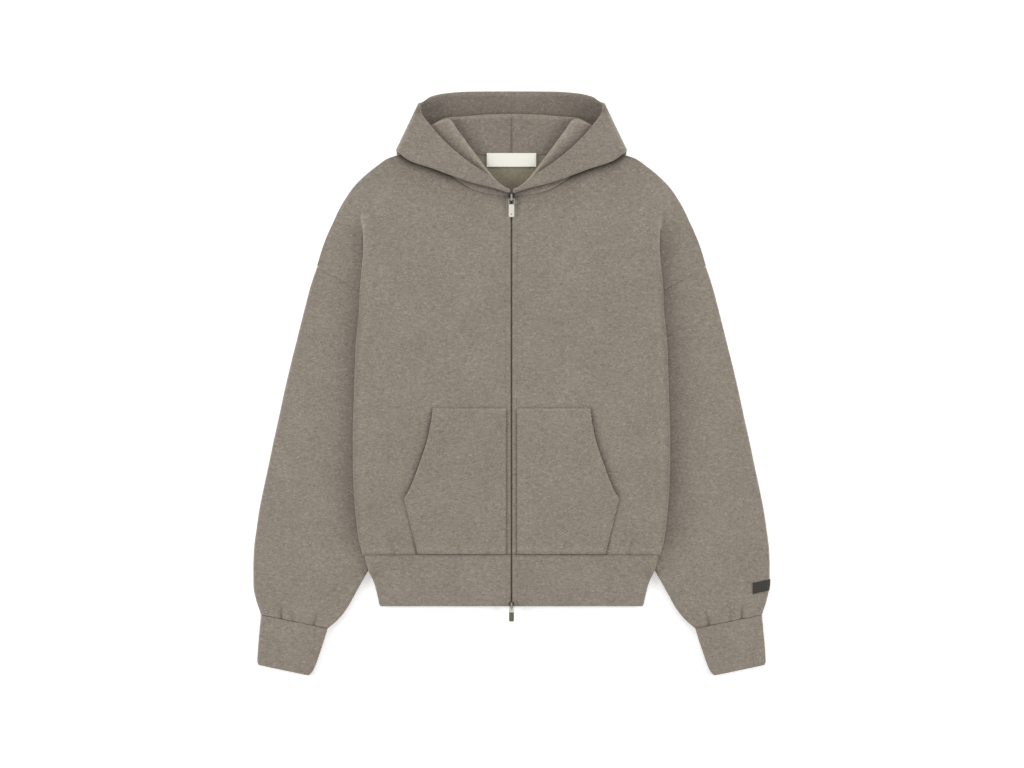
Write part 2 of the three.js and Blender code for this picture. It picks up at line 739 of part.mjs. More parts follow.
const fleece = { color: 0x8f867a, roughness: 0.95, metalness: 0 };
const LOOKS = {
  front_left: fleece,
  front_right: fleece,
  back: fleece,
  sleeve_left: fleece,
  sleeve_right: fleece,
  cuff_left: fleece,
  cuff_right: fleece,
  hem_band: fleece,
  hood_left: fleece,
  hood_right: fleece,
  pocket_left: fleece,
  pocket_right: fleece,
  zip_tape_left: { color: 0x4a4036, roughness: 0.8, metalness: 0 },
  zip_tape_right: { color: 0x4a4036, roughness: 0.8, metalness: 0 },
  upper_slider: { color: 0x5a5750, roughness: 0.4, metalness: 1 },
  upper_pull: { color: 0xe6e2da, roughness: 0.5, metalness: 0 },
  lower_slider: { color: 0x4a4c47, roughness: 0.4, metalness: 1 },
  lower_pull: { color: 0x4a4c47, roughness: 0.4, metalness: 1 },
  neck_label: { color: 0xf1efe6, roughness: 0.8, metalness: 0 },
  sleeve_label: { color: 0x3f3a34, roughness: 0.7, metalness: 0 },
};

const hoodie = new THREE.Group();
hoodie.name = "zip_up_hoodie";
function place(name, geometry, parent = hoodie) {
  const mesh = new THREE.Mesh(geometry, new THREE.MeshStandardMaterial(LOOKS[name]));
  mesh.name = name;
  mesh.material.name = name;
  parent.add(mesh);
  return mesh;
}

for (const [word, side] of [
  ["left", 1],
  ["right", -1],
]) {
  place(`front_${word}`, frontPanel(side));
  place(
    `sleeve_${word}`,
    flatTube(SLEEVE, side, {
      thick: CLOTH,
      low: FLOOR,
      high: FLOOR + TUBE,
      dent: (h, y) => gathers(SLEEVE_GATHERS, h, y),
    }),
  );
  place(
    `cuff_${word}`,
    flatTube(CUFF, side, { thick: RIB_CLOTH, low: RIB_CLOTH / 2, high: FLOOR + TUBE }),
  );
  place(`hood_${word}`, hoodHalf(side));
  place(`pocket_${word}`, pocket(side));
  place(`zip_tape_${word}`, zipTape(side));
}
place("back", backPanel());
place("hem_band", hemBand());

for (const [word, { y, width, length, z, tilt, pull: sizes }] of [
  ["upper", UPPER],
  ["lower", LOWER],
]) {
  place(`${word}_slider`, fromSolid(slider(width, length))).position.set(0, y, z);
  const [hy, hz] = hingeOf(length);
  const mesh = place(`${word}_pull`, fromSolid(pull(sizes)));
  mesh.position.set(0, y + hy, z + hz);
  mesh.rotation.x = THREE.MathUtils.degToRad(tilt);
}

// Labels: thin plates, left blank.
const NECK_LABEL = { y0: 346, y1: 325.5, half: 37, thick: 0.8 };
{
  const { y0, y1, half, thick } = NECK_LABEL;
  const rows = [0, 0.5, 1].map((t) =>
    [-1, -0.5, 0, 0.5, 1].map(
      (s) => new THREE.Vector3(s * half, mix(y0, y1, t), 10.8 + SEAM + 0.1 + thick / 2),
    ),
  );
  place("neck_label", wall(rows, { thick }));
}
// It wraps over the sleeve's outer edge, from the top down to the middle of the edge.
const SLEEVE_LABEL = { h: 361.9, y: -298.5, length: 16.5, slope: 0.22, thick: 0.8 };
{
  const { h, y, length, slope, thick } = SLEEVE_LABEL;
  const r = TUBE / 2;
  const out = CLOTH / 2 + SEAM + 0.15 + thick / 2;
  const section = (yy) => {
    const edge = at(SLEEVE, 1, 0, yy);
    const middle = edge - r - CLOTH / 2;
    const list = [];
    for (const t of [0, 0.5, 1]) list.push([mix(h, middle, t), FLOOR + TUBE + out]);
    for (const a of [0.2, 0.35, 0.5])
      list.push([
        middle + (r + out) * Math.sin(a * Math.PI),
        FLOOR + r + (r + out) * Math.cos(a * Math.PI),
      ]);
    return list;
  };
  const rows = [0, 0.5, 1].map((t) => {
    const y0 = y - length * t;
    return section(y0 + 26 * slope).map(([x, z]) => new THREE.Vector3(x, y0 + (x - h) * slope, z));
  });
  place("sleeve_label", wall(rows, { thick }));
}

hoodie.position.set(...OFFSET, 0);

export default hoodie;
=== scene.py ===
"""A loose zip up hoodie laid flat on its back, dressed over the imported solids.

Plan tables are in millimetres and hold half widths from the zip, so one table serves both sides.
"""

from __future__ import annotations

import json
import logging
from dataclasses import dataclass, field
from enum import Enum

import bmesh
import bpy
import numpy as np
from bpy.types import Material, Mesh, Node, NodeSocket, NodeTree, Object
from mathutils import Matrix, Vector
from numpy import ndarray as Array

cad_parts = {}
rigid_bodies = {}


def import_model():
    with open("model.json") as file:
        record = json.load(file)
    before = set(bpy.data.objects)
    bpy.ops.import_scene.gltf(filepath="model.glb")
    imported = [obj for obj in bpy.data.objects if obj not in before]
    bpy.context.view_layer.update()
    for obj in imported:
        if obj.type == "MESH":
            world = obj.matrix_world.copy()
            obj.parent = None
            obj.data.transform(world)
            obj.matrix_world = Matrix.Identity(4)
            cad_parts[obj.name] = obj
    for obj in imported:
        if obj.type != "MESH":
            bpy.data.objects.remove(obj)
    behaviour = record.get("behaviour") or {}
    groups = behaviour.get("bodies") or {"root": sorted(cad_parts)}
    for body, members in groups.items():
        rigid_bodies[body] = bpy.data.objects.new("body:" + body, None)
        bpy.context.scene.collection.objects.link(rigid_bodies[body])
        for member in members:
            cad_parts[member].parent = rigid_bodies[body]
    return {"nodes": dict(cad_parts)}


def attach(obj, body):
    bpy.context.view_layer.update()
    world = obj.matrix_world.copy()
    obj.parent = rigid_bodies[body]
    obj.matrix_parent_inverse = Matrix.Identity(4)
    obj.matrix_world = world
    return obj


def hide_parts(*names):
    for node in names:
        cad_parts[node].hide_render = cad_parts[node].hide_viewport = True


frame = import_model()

log = logging.getLogger("hoodie")
logging.basicConfig(level=logging.INFO, format="%(name)s: %(message)s")

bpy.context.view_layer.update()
BODY = "garment"
MM = 0.001
OFFSET = np.array([-0.55, -0.65, 0.0])  # the solids' own shift from plan to frame, mm

# Walls of cloth and how they lie, mm
CLOTH = 2.6
HOOD_CLOTH = 3.4
BAND_CLOTH = 3.0
SEAM = 0.3
FLOOR = CLOTH / 2  # middle of a wall on the floor
LAYERS = 4.8  # from the middle of the back to that of the front
TUBE = 4.6  # between the middles of a flattened tube
SLEEVE_LIFT = 7.6  # of what lies over the sleeve under the torso
RAMP = 14.5  # width over which that is lost
BAG_LIFT = 7.5  # of what lies over the hood's bag behind the neck
BAG_RADIUS = 171.0
BAG_Y = 348.0
BAG_RAMP = 140.0
PLEAT_R = 1.6
RELIEF = 0.55  # height of the waves of cloth that isn't pressed
PLACKET_SINK = 0.5  # depth of the groove beside the zip
ZIP_GAP = 1.25  # from the middle to a front's edge
TOPSTITCH = 8.2
TAPE_TOP = 280.0
HEM_SEAM = -255.8
HEM_END = -333.6
UNDERARM = 17  # rows of the tables at which the cut changes
ARMHOLE_TOP = 12
BACK_ARMHOLE_TOP = 9
ARM_TO_HEM = TUBE + SLEEVE_LIFT - LAYERS  # rise of the torso's side fold below the armhole
SEWN = 0.6  # width over which an edge is rounded at a seam, mm
FREE = 1.6  # and where it is folded or cut
SEWN_ROUNDING = 0.65  # how far round a sewn edge goes, of a free edge's quarter ellipse
EDGE_SHARES = np.array([0, 0.1, 0.22, 0.4, 0.7, 1.0])  # stations across a rounded edge
EDGE = len(EDGE_SHARES)
STITCH_STATIONS = np.array([6.4, 7.1, 7.7, 8.2, 8.7, 9.3, 10.0, 11.5])  # beside the zip, mm
STITCH_WIDTH = 0.95  # of the groove that the zip's topstitching draws in
POCKET_TOP = -36.5
NECK_FADE = 262.0  # Y at which waves and fold shadows have died out below the neck
REVERSE_FROM = 0.2  # Y above which the back shows its reverse, m

# inH, inY, foldH, foldY, outH, outY, turn, tuck
FRONT = np.array([
    [118.5, 346.5, 125.5, 348.5, 131.5, 350.3, 0, 2],
    [107.3, 329.3, 149, 339, 161.5, 344.2, 0, 2],
    [91.5, 313, 171, 330.5, 183.5, 338, 0, 2],
    [74.3, 299.7, 189.5, 318.5, 203, 325, 0, 2],
    [53.3, 288.6, 203, 305, 219.5, 312, 0, 2],
    [25.5, 282.6, 212.5, 290, 236.5, 295.4, 0, 2],
    [1.65, 281.1, 217.5, 275.3, 250, 276.4, 0, 2],
    [1.65, 266, 219.3, 260.3, 259.5, 260.1, 0.12, 2],
    [1.65, 249, 219.6, 243.8, 267.2, 243.6, 0.3, 2],
    [1.65, 231, 219.8, 226.5, 275.3, 226.4, 0.6, 3],
    [1.65, 212, 220.2, 207.8, 282.7, 207.6, 0.85, 6],
    [1.65, 193, 221.6, 189, 288, 191.1, 1, 15],
    [1.65, 177, 223.2, 173.3, 291.9, 176.7, 1, 27],
    [1.65, 163, 224.7, 158.3, 269, 163, 1, 37],
    [1.65, 149, 226, 144, 243, 148, 1, 46],
    [1.65, 136, 227, 131.3, 218.3, 133.8, 1, 56],
    [1.65, 123, 227.4, 118.5, 192.8, 119, 1, 63],
    [1.65, 110, 228, 106.8, 172.5, 107.8, 1, 60],
    [1.65, 90, 229.8, 87, 0, 0, 1, 60],
    [1.65, 61, 232.5, 58.5, 0, 0, 1, 60],
    [1.65, 20, 234, 18, 0, 0, 1, 60],
    [1.65, -26, 235.3, -27, 0, 0, 1, 60],
    [1.65, -72, 236.7, -72, 0, 0, 1, 60],
    [1.65, -118, 236.7, -117, 0, 0, 1, 60],
    [1.65, -160, 235.5, -159, 0, 0, 1, 60],
    [1.65, -198, 232.5, -196.5, 0, 0, 1, 60],
    [1.65, -230, 228.7, -228, 0, 0, 1, 60],
    [1.65, HEM_SEAM, 221.8, HEM_SEAM, 0, 0, 1, 60],
])
# outH, outY, midY; a width of 0 means that the side seam gives it
BACK = np.array([
    [121.5, 351.6, 341.9],
    [161.5, 344.2, 325],
    [183.5, 338, 311],
    [203, 325, 298],
    [219.5, 312, 285],
    [236.5, 295.4, 270],
    [250, 276.4, 255],
    [267.2, 243.6, 232],
    [282.7, 207.6, 205],
    [291.9, 176.7, 178],
    [256, 155.6, 158],
    [218.3, 133.8, 136],
    [192.8, 119, 121],
    [168.5, 106.5, 107],
    [147.6, 87, 87],
    *([0, y, y] for y in FRONT[19:, 3]),
])
# outH, outY, inH, inY
SLEEVE = np.array([
    [291.9, 176, 170.3, 105.8],
    [300.8, 150, 165.8, 84],
    [314.5, 98, 164.3, 48],
    [323.5, 62, 163.5, 12],
    [332.5, 26, 163.5, -24],
    [341.3, -12, 164.3, -60],
    [349, -48, 165.8, -96],
    [357, -84, 168.8, -132],
    [364.5, -120, 174.8, -165],
    [372.2, -156, 182.3, -196.5],
    [379, -190, 192, -226.5],
    [383, -218, 201.8, -252],
    [386.6, -246, 213, -276],
    [387.8, -274, 224.7, -297],
    [387.6, -302, 236.3, -318],
    [383, -326, 247.5, -337.5],
    [379, -338, 260.3, -353.3],
    [376.2, -346.2, 275.4, -366.6],
])
CUFF = np.array([
    [376.1, -346.9, 275.9, -367.2],
    [378, -364.5, 281.3, -384.8],
    [379.8, -384, 287.3, -402.8],
    [381.3, -403.5, 293.3, -420],
    [381.9, -416.3, 298.5, -431.3],
    [379.8, -421.8, 304.5, -437.7],
])
# y, half width
HEM = np.array([
    [HEM_SEAM - SEAM, 220.5],
    [-269, 217.5],
    [-281, 214],
    [-300, 206],
    [-324, 200],
    [-331, 198.6],
    [HEM_END, 196],
])
# y, outer edge, lift of the open edge
POCKET = np.array([
    [POCKET_TOP, 118.2, 0],
    [-52, 119.8, 0.6],
    [-69, 122.8, 1.2],
    [-85, 126.4, 1.4],
    [-101, 131.4, 1.5],
    [-120, 138, 1.5],
    [-137, 144.2, 1.4],
    [-159, 153.2, 1.1],
    [-174, 160.6, 0.4],
    [-180, 159.2, 0.1],
    [-197, 155, 0],
    [-212, 151.3, 0],
    [-230, 146.5, 0],
    [-252.4, 141, 0],
])
# h0, y0, h1, y1, depth, half width
HEM_GATHERS = np.array([
    [182, -226, 176, -250, 1.9, 5],
    [148, -232, 142, -255, 1.6, 4.5],
    [83, -234, 75, -256, 1.5, 4],
    [30, -230, 36, -254, 1.3, 4],
    [206, -224, 201, -246, 0.5, 8],
])
SLEEVE_GATHERS = np.array([
    [345.3, -334, 345.3, -352, 2.0, 4],
    [292, -345, 297, -364, 2.0, 4],
    [330, -340, 327, -356, 1.3, 5],
])

# Hood lines of one half, from the zip round the side to the middle seam
NECK_LINE = (
    [[1.2, 281.7], [25, 283.3], [52.8, 289.3], [73.5, 300.4], [90.8, 313.6], [106.6, 329.8],
     [117.5, 346.5]],
    [120, 352.5],
    [[119, 353.2], [92, 349], [47, 344], [0.03, 342.4]],
)
ROLL_LINE = (
    [[1.6, 290.5], [7.5, 292], [21, 301], [36, 318], [47.3, 333], [63.3, 354], [81, 378],
     [95.7, 395], [109, 391]],
    [119.5, 385],
    [[109, 393.5], [96.5, 398], [63.3, 400.8], [33, 403], [0.03, 403.8]],
)
CREASE_LINE = (
    [[2, 286.5], [19, 292.2], [36.8, 297], [60.3, 303], [87, 312.3], [116.5, 323.3], [150, 334.5]],
    [171.3, 349],
    [[171, 348], [165.2, 303.7], [148.1, 262.5], [120.9, 227.1], [85.5, 199.9], [44.3, 182.8],
     [0.03, 177]],
)
RIM_LINE = (
    [[2.2, 289.8], [7.5, 290.7], [20, 299.6], [35.5, 313], [61.5, 330.3], [85.5, 349.5],
     [104.4, 367.1], [119.9, 385.1], [135, 407]],
    [137.5, 421],
    [[131.5, 427.3], [125.5, 430.4], [113.5, 434.2], [101.5, 436.6], [66, 439.3], [30, 439.7],
     [0.03, 439.7]],
)
# front and back heights of each leg, and its side fold from first line to second
LEGS = (
    (13.6, 9.1, [[120, 352.5], [123.3, 383.1]]),
    (17.3, 5.4, [[119.7, 383.1], [167.5, 350.5]]),
    (21.0, 1.7, [[171.3, 350.5], [137.5, 421]]),
)
FOLD_PULL = 1.9


class Side(Enum):
    """Which half of the garment a piece belongs to, as the sign of its X."""

    LEFT = 1
    RIGHT = -1

    @property
    def word(self) -> str:
        """The half's name in piece names."""
        return self.name.lower()


def smooth(t: Array) -> Array:
    """Rise from 0 to 1 as 3t² - 2t³, flat outside."""
    c = np.clip(t, 0, 1)
    return c * c * (3 - 2 * c)


def bell(x: Array, width: float) -> Array:
    """Gaussian bump: 1 at 0, and 1/e at the width."""
    return np.exp(-((x / width) ** 2))


def fade(x: Array, width: float) -> Array:
    """Exponential decay: 1 at 0, and 1/e at the width."""
    return np.exp(-x / width)


# Losses of light beside an edge: amount, shape and width of each term, mm
BESIDE_FOLD = ((0.17, bell, 38.0), (0.14, fade, 3.0))
UNDER_HOOD = ((0.36, bell, 8.0), (0.38, fade, 18.0), (0.22, bell, 3.0))
UNDER_CREASE = ((0.4, bell, 3.0), (0.2, fade, 10.0))
BESIDE_SEAM = ((0.2, fade, 2.0),)
BESIDE_OPENING = ((0.56, fade, 1.5),)
BESIDE_POCKET = ((0.2, fade, 1.2),)


def loss(away: Array, terms: tuple) -> Array:
    """Sum of a table's terms at a distance, which counts both ways."""
    return sum(amount * shape(np.abs(away), width) for amount, shape, width in terms)


def hermite(x: Array, y: Array, at: Array) -> Array:
    """Monotone cubic through points, with harmonic mean slopes so that it never overshoots.

    Args:
        x: rising stations.
        y: one column of values or several.
        at: where the curve is read.

    Returns:
        The values, one row for each entry of at.
    """
    x = np.asarray(x, float)
    y = np.asarray(y, float).reshape(len(x), -1)
    step = np.diff(x)[:, None]
    rise = np.diff(y, axis=0) / step
    slope = np.zeros_like(y)
    both = rise[:-1] * rise[1:] > 0
    total = rise[:-1] + rise[1:]
    slope[1:-1] = np.where(both, 2 * rise[:-1] * rise[1:] / np.where(both, total, 1), 0)
    slope[0], slope[-1] = rise[0], rise[-1]
    at = np.clip(np.asarray(at, float), x[0], x[-1])
    i = np.clip(np.searchsorted(x, at, side="right") - 1, 0, len(x) - 2)
    h = step[i]
    t = ((at - x[i]) / step[i, 0])[:, None]
    return (
        (1 + 2 * t) * (1 - t) ** 2 * y[i]
        + t * (1 - t) ** 2 * h * slope[i]
        + t * t * (3 - 2 * t) * y[i + 1]
        + t * t * (t - 1) * h * slope[i + 1]
    )


def cornered(table: Array, corner: int, rows: Array) -> Array:
    """A table read at fractional rows, smooth on both sides of a row where it turns sharply."""
    first = hermite(np.arange(corner + 1), table[: corner + 1], np.minimum(rows, corner))
    second = hermite(np.arange(corner, len(table)), table[corner:], np.maximum(rows, corner))
    return np.where((rows < corner)[:, None], first, second)


def column(table: Array, at_column: int, column_wanted: int, y: Array) -> Array:
    """A table's column at heights, for tables whose heights fall from row to row."""
    flipped = table[::-1]
    flat = np.asarray(y, float)
    return hermite(flipped[:, at_column], flipped[:, column_wanted], flat.ravel()).reshape(flat.shape)


def back_z(h: Array, y: Array) -> Array:
    """Middle of the back: the floor, raised over the hood's bag by a smooth step of the distance."""
    away = np.maximum(0, np.hypot(h, y - BAG_Y) - BAG_RADIUS - 3)
    return FLOOR + BAG_LIFT * smooth(1 - away / BAG_RAMP)


def sleeve_inside(y: Array) -> Array:
    """Half width at which the sleeve under the torso ends."""
    return column(SLEEVE, 3, 2, y)


def under_z(h: Array, y: Array) -> Array:
    """Middle of a wall on the floor that climbs on to the sleeve by a smooth step."""
    return FLOOR + SLEEVE_LIFT * smooth((h - (sleeve_inside(y) - RAMP + 1)) / (RAMP - 2.5))


def gathers(table: Array, h: Array, y: Array) -> Array:
    """Depth of the troughs at a band: each a Gaussian across and a smooth step along."""
    h, y = np.broadcast_arrays(h, y)
    h0, y0, h1, y1, deep, half = (c.reshape(-1, *[1] * h.ndim) for c in table.T)
    along = np.clip((y0 - y) / (y0 - y1), -0.6, 1.2)
    off = (h - (h0 + (h1 - h0) * np.clip(along, 0, 1))) / half
    return (deep * np.exp(-2 * off**2) * smooth((along + 0.6) / 1.2)).sum(axis=0)


def pleat(turn: Array, tuck: Array, steps: int) -> tuple[Array, Array]:
    """Section of the shoulder pleat, by turning through an angle, going straight and turning back.

    Args:
        turn: share of a half turn, one for each row.
        tuck: straight length between the turns, mm.
        steps: samples in each turn.

    Returns:
        Offsets across and up from the start of the fold, rows by samples.
    """
    most = np.maximum(np.pi * turn, 1e-3)[:, None]
    reach = np.pi * PLEAT_R / most
    k = np.linspace(0, 1, steps + 1)[None, 1:]
    first = reach * np.sin(most * k), -reach * (1 - np.cos(most * k))
    middle = (
        first[0][:, -1:] + tuck[:, None] * np.cos(most) * k,
        first[1][:, -1:] - tuck[:, None] * np.sin(most) * k,
    )
    back = most * (1 - k)
    last = (
        middle[0][:, -1:] + reach * (np.sin(most) - np.sin(back)),
        middle[1][:, -1:] - reach * (np.cos(back) - np.cos(most)),
    )
    return (
        np.concatenate([first[0], middle[0], last[0]], axis=1),
        np.concatenate([first[1], middle[1], last[1]], axis=1),
    )


def rise_by_height() -> tuple[Array, Array]:
    """How far the front at its side fold stands over its plain height, against that fold's Y."""
    rows = np.linspace(0, UNDERARM, 120)
    values = hermite(np.arange(len(FRONT)), FRONT, rows)
    up = pleat(np.clip(values[:, 6], 0, 1), values[:, 7], 8)[1]
    rise = TUBE - LAYERS - up[:, -1]
    y = np.concatenate([values[:, 3], [FRONT[UNDERARM + 1, 3], -400.0]])
    return y[::-1], np.concatenate([rise, [ARM_TO_HEM, ARM_TO_HEM]])[::-1]


RISE_Y, RISE = rise_by_height()
PLATEAU = np.array([
    [row[3], sleeve_inside(np.array([row[3]]))[0] - 4 if i > UNDERARM else row[2] - max(0, row[7] - 2) - 4]
    for i, row in enumerate(FRONT)
])


def relief(side: Side, h: Array, y: Array) -> Array:
    """Slow waves of a cloth that isn't pressed: crossed sines, fading out at the zip and neck."""
    x = side.value * h
    wave = (
        np.sin(x / 31 + 0.8 * np.sin(y / 47)) * np.sin(y / 41 + x / 83 + 1.3)
        + 0.7 * np.sin((x + 1.7 * y) / 63 + 0.5)
        + 0.35 * np.sin((x - 0.6 * y) / 17 + 1.5 * np.sin(y / 60))
    )
    return RELIEF * wave * smooth((h - 12) / 45) * smooth((NECK_FADE - y) / 60)


def pucker(side: Side, along_seam: Array, away: Array) -> Array:
    """Small tucks that a seam draws in: three sines along it, fading with distance from it."""
    s = side.value * along_seam
    wave = np.sin(s / 2.7 + 1.1 * np.sin(s / 23)) + 0.7 * np.sin(s / 4.3 + 1) + 0.6 * np.sin(s / 7.1)
    return 0.3 * wave * fade(np.maximum(away, 0), 10) * smooth(away / 4)


def front_z(side: Side, h: Array, y: Array) -> Array:
    """Middle of the front: a cloth's gap over the back, raised towards the side fold."""
    h, y = np.broadcast_arrays(h, y)
    fold = column(FRONT, 3, 2, y)
    flat = column(PLATEAU, 0, 1, y)
    rise = np.interp(y, RISE_Y, RISE)
    on_top = smooth((h - (flat - 80)) / 80)
    down = smooth((FRONT[UNDERARM, 3] - y) / 18)
    sag = down * smooth((fold - h) / np.maximum(20, fold - flat))
    z = back_z(h, y) + LAYERS + (rise - sag) * on_top - gathers(HEM_GATHERS, h, y)
    ridge = PLACKET_SINK * bell(h - TOPSTITCH, STITCH_WIDTH)
    return z + relief(side, h, y) + pucker(side, h, y - HEM_SEAM) - ridge


def hem_low(h: Array, y: Array) -> Array:
    """Middle of the hem band's under wall."""
    return under_z(h, y) + (BAND_CLOTH - CLOTH) / 2


def hem_high(side: Side, h: Array, y: Array) -> Array:
    """Middle of the hem band's upper wall, from the front's height down to a plain gap.

    The front's height is read where its climb on to the sleeve meets the band's own.
    """
    h, y = np.broadcast_arrays(h, y)
    seam = np.full(h.shape, HEM_SEAM)
    at = h - (sleeve_inside(y) - sleeve_inside(seam)) * smooth((h - 60) / 100)
    sewn = front_z(side, at, seam) - under_z(at, seam)
    share = smooth((HEM_SEAM - y) / 42)
    ridge = PLACKET_SINK * bell(h - TOPSTITCH, STITCH_WIDTH) * share
    swell = 0.35 * np.sin(np.pi * np.clip((HEM_SEAM - y) / 78, 0, 1)) * (1 - fade(h, 30))
    return under_z(h, y) + sewn + (BAND_CLOTH + 2 - sewn) * share + swell - ridge


def fold_shade(h: Array, y: Array) -> Array:
    """Loss of light on the sleeve beside the torso's fold: a broad and a narrow exponential."""
    beyond = np.maximum(h - column(FRONT, 3, 2, np.clip(y, HEM_SEAM, 300)), 0)
    starts = smooth((NECK_FADE - y) / 60) * smooth((y - HEM_SEAM + 10) / 60)
    return loss(beyond, BESIDE_FOLD) * starts


def fold_light(h: Array, y: Array) -> Array:
    """Painted shade on the torso's own fold low down, and painted highlights on its edge higher up and in
    a band just inside it.
    """
    inside = np.maximum(column(FRONT, 3, 2, np.clip(y, HEM_SEAM, 300)) - h, 0)
    low = smooth((200 - y) / 80) * smooth((y - HEM_SEAM + 10) / 60)
    high = smooth((NECK_FADE - y) / 20) * smooth((y - 150) / 60)
    return (0.22 * low - 0.08 * high) * fade(inside, 3.5) - 0.05 * low * bell(inside - 10, 4)


def pocket_shade(h: Array, y: Array) -> Array:
    """Loss of light painted on the front beside the pocket's opening, a little beside its lower seam, and
    in a line just above its top edge.
    """
    beyond = h - column(POCKET, 0, 1, np.clip(y, POCKET[-1, 0], POCKET_TOP))
    opening = smooth((POCKET_TOP + 1 - y) / 6) * smooth((y + 172) / 10)
    seam = smooth((POCKET_TOP + 1 - y) / 2) * (1 - opening)
    # painted shadow in a line just above the pocket's top edge
    top = bell(y - POCKET_TOP - 0.6, 1.3) * smooth((1 - beyond) / 2) * smooth((h - 8) / 3)
    near = loss(beyond - 0.5, BESIDE_OPENING) * opening + loss(beyond, BESIDE_POCKET) * seam
    return near * (beyond > -6) + 0.42 * top


def seam_shade(h: Array, y: Array) -> Array:
    """Painted shade along the hem seam, in the gathers, and under the hood's lowest roll, with a painted
    highlight in a band just above the hem seam.
    """
    # painted shadow at the seam, less a painted highlight about 7 mm above it
    seam = loss(y - HEM_SEAM, BESIDE_SEAM) - 0.1 * bell(y - HEM_SEAM - 7, 4.5)
    line = np.array(CREASE_LINE[0] + [CREASE_LINE[1]])
    under = line_distance(line, h, y)
    roll = loss(under, UNDER_HOOD) * smooth((y - 245) / 30)
    return seam + 0.06 * gathers(HEM_GATHERS, h, y) + roll


def line_distance(line: Array, h: Array, y: Array) -> Array:
    """Plan distance of points from a line, the least over its chords."""
    best = np.full(np.broadcast(h, y).shape, np.inf)
    for (ah, ay), (bh, by) in zip(line[:-1], line[1:]):
        dh, dy = bh - ah, by - ay
        t = np.clip(((h - ah) * dh + (y - ay) * dy) / (dh * dh + dy * dy), 0, 1)
        best = np.minimum(best, np.hypot(h - ah - t * dh, y - ay - t * dy))
    return best


@dataclass
class Patch:
    """A grid of points in mm that is the middle of a wall of cloth.

    Its first row may be vertices of an earlier patch, named by ids, and the first columns of its
    last row may carry on in a later patch. A rounding width of 0 means no edge there.
    """

    points: Array
    ring: bool = False
    ids: Array | None = None
    joined: int = 0
    first: float = FREE
    last: float = FREE
    left: float = FREE
    right: float = FREE
    press: Array | float = 1.0
    shade: Array | float = 1.0

    def nearness(self) -> Array:
        """How near each point is to an edge: 1 on it, 0 past its rounding width."""
        p = self.points
        down = np.zeros(p.shape[:2])
        down[1:] = np.cumsum(np.linalg.norm(np.diff(p, axis=0), axis=2), axis=0)
        over = np.zeros(p.shape[:2])
        over[:, 1:] = np.cumsum(np.linalg.norm(np.diff(p, axis=1), axis=2), axis=1)
        near = np.zeros(p.shape[:2])
        for width, distance, is_last in (
            (self.first, down, False), (self.last, down[-1:] - down, True),
            (self.left, over, False), (self.right, over[:, -1:] - over, False),
        ):
            if width == 0:
                continue
            share = (1 - np.clip(distance / width, 0, 1)) * (SEWN_ROUNDING if width <= SEWN else 1)
            if is_last:
                share[:, : self.joined] = 0
            near = np.maximum(near, share)
        return near


def wall(name: str, patches: list[Patch], thick: float) -> Object:
    """A closed wall of cloth about patches, thinner towards its edges along a quarter ellipse.

    Args:
        name: the piece's name.
        patches: grids of the wall's middle.
        thick: the wall, mm.

    Returns:
        The finished object, with its shade stored on its vertices.
    """
    points, half, quads, shades = [], [], [], []
    count = 0
    for patch in patches:
        rows, columns = patch.points.shape[:2]
        start = 0 if patch.ids is None else 1
        own = np.arange(rows * columns).reshape(rows, columns) + count - start * columns
        if start:
            own[0] = patch.ids
        near = patch.nearness()
        size = thick / 2 * np.sqrt(np.maximum(1 - near * near, 0.04)) * patch.press
        points.append(patch.points[start:].reshape(-1, 3))
        half.append(np.broadcast_to(size, near.shape)[start:].ravel())
        shades.append(np.broadcast_to(patch.shade, near.shape)[start:].ravel())
        count += (rows - start) * columns
        right = np.roll(own, -1, axis=1) if patch.ring else own[:, 1:]
        left = own if patch.ring else own[:, :-1]
        quads.append(np.stack([left[:-1], right[:-1], right[1:], left[1:]], axis=-1).reshape(-1, 4))
    p, q = np.concatenate(points), np.concatenate(quads)
    cell = np.cross(p[q[:, 2]] - p[q[:, 0]], p[q[:, 3]] - p[q[:, 1]])
    n = np.zeros_like(p)
    np.add.at(n, q.ravel(), np.repeat(cell, 4, axis=0))
    n /= np.maximum(np.linalg.norm(n, axis=1, keepdims=True), 1e-12)
    w = np.concatenate(half)[:, None]
    edges = np.concatenate([q[:, [0, 1]], q[:, [1, 2]], q[:, [2, 3]], q[:, [3, 0]]])
    _, where, uses = np.unique(np.sort(edges, axis=1), axis=0, return_index=True, return_counts=True)
    rim = edges[where[uses == 1]]
    under = len(p)
    faces = np.concatenate([
        q,
        q[:, ::-1] + under,
        np.stack([rim[:, 1], rim[:, 0], rim[:, 0] + under, rim[:, 1] + under], axis=1),
    ])
    made = mesh_object(name, np.concatenate([p + n * w, p - n * w]), faces)
    shade = made.data.attributes.new("shade", "FLOAT", "POINT")
    shade.data.foreach_set("value", np.tile(np.concatenate(shades), 2).astype(np.float32))
    return made


def mesh_object(name: str, points: Array, faces: Array) -> Object:
    """An object at the origin from points in plan mm and faces of one size, smooth shaded.

    Args:
        name: the piece's name.
        points: vertices, mm.
        faces: vertex indexes, one row for each face, turned outwards.

    Returns:
        The object, linked to the scene.
    """
    mesh = bpy.data.meshes.new(name)
    mesh.from_pydata(((points + OFFSET) * MM).tolist(), [], faces.tolist())
    mesh.update()
    mesh.polygons.foreach_set("use_smooth", np.ones(len(faces), bool))
    return placed(name, mesh)


def placed(name: str, data: bpy.types.ID) -> Object:
    """A new object of some data, linked to the scene."""
    made = bpy.data.objects.new(name, data)
    bpy.context.collection.objects.link(made)
    return made


def solid_copy(node: str, name: str) -> Object:
    """A new object with a bare copy of a solid's mesh."""
    mesh = frame["nodes"][node].data.copy()
    mesh.materials.clear()
    return placed(name, mesh)


def face_values(mesh: Mesh, kind: str) -> Array:
    """Centres or normals of a mesh's faces, one row for each."""
    values = np.empty(3 * len(mesh.polygons))
    mesh.polygons.foreach_get(kind, values)
    return values.reshape(-1, 3)


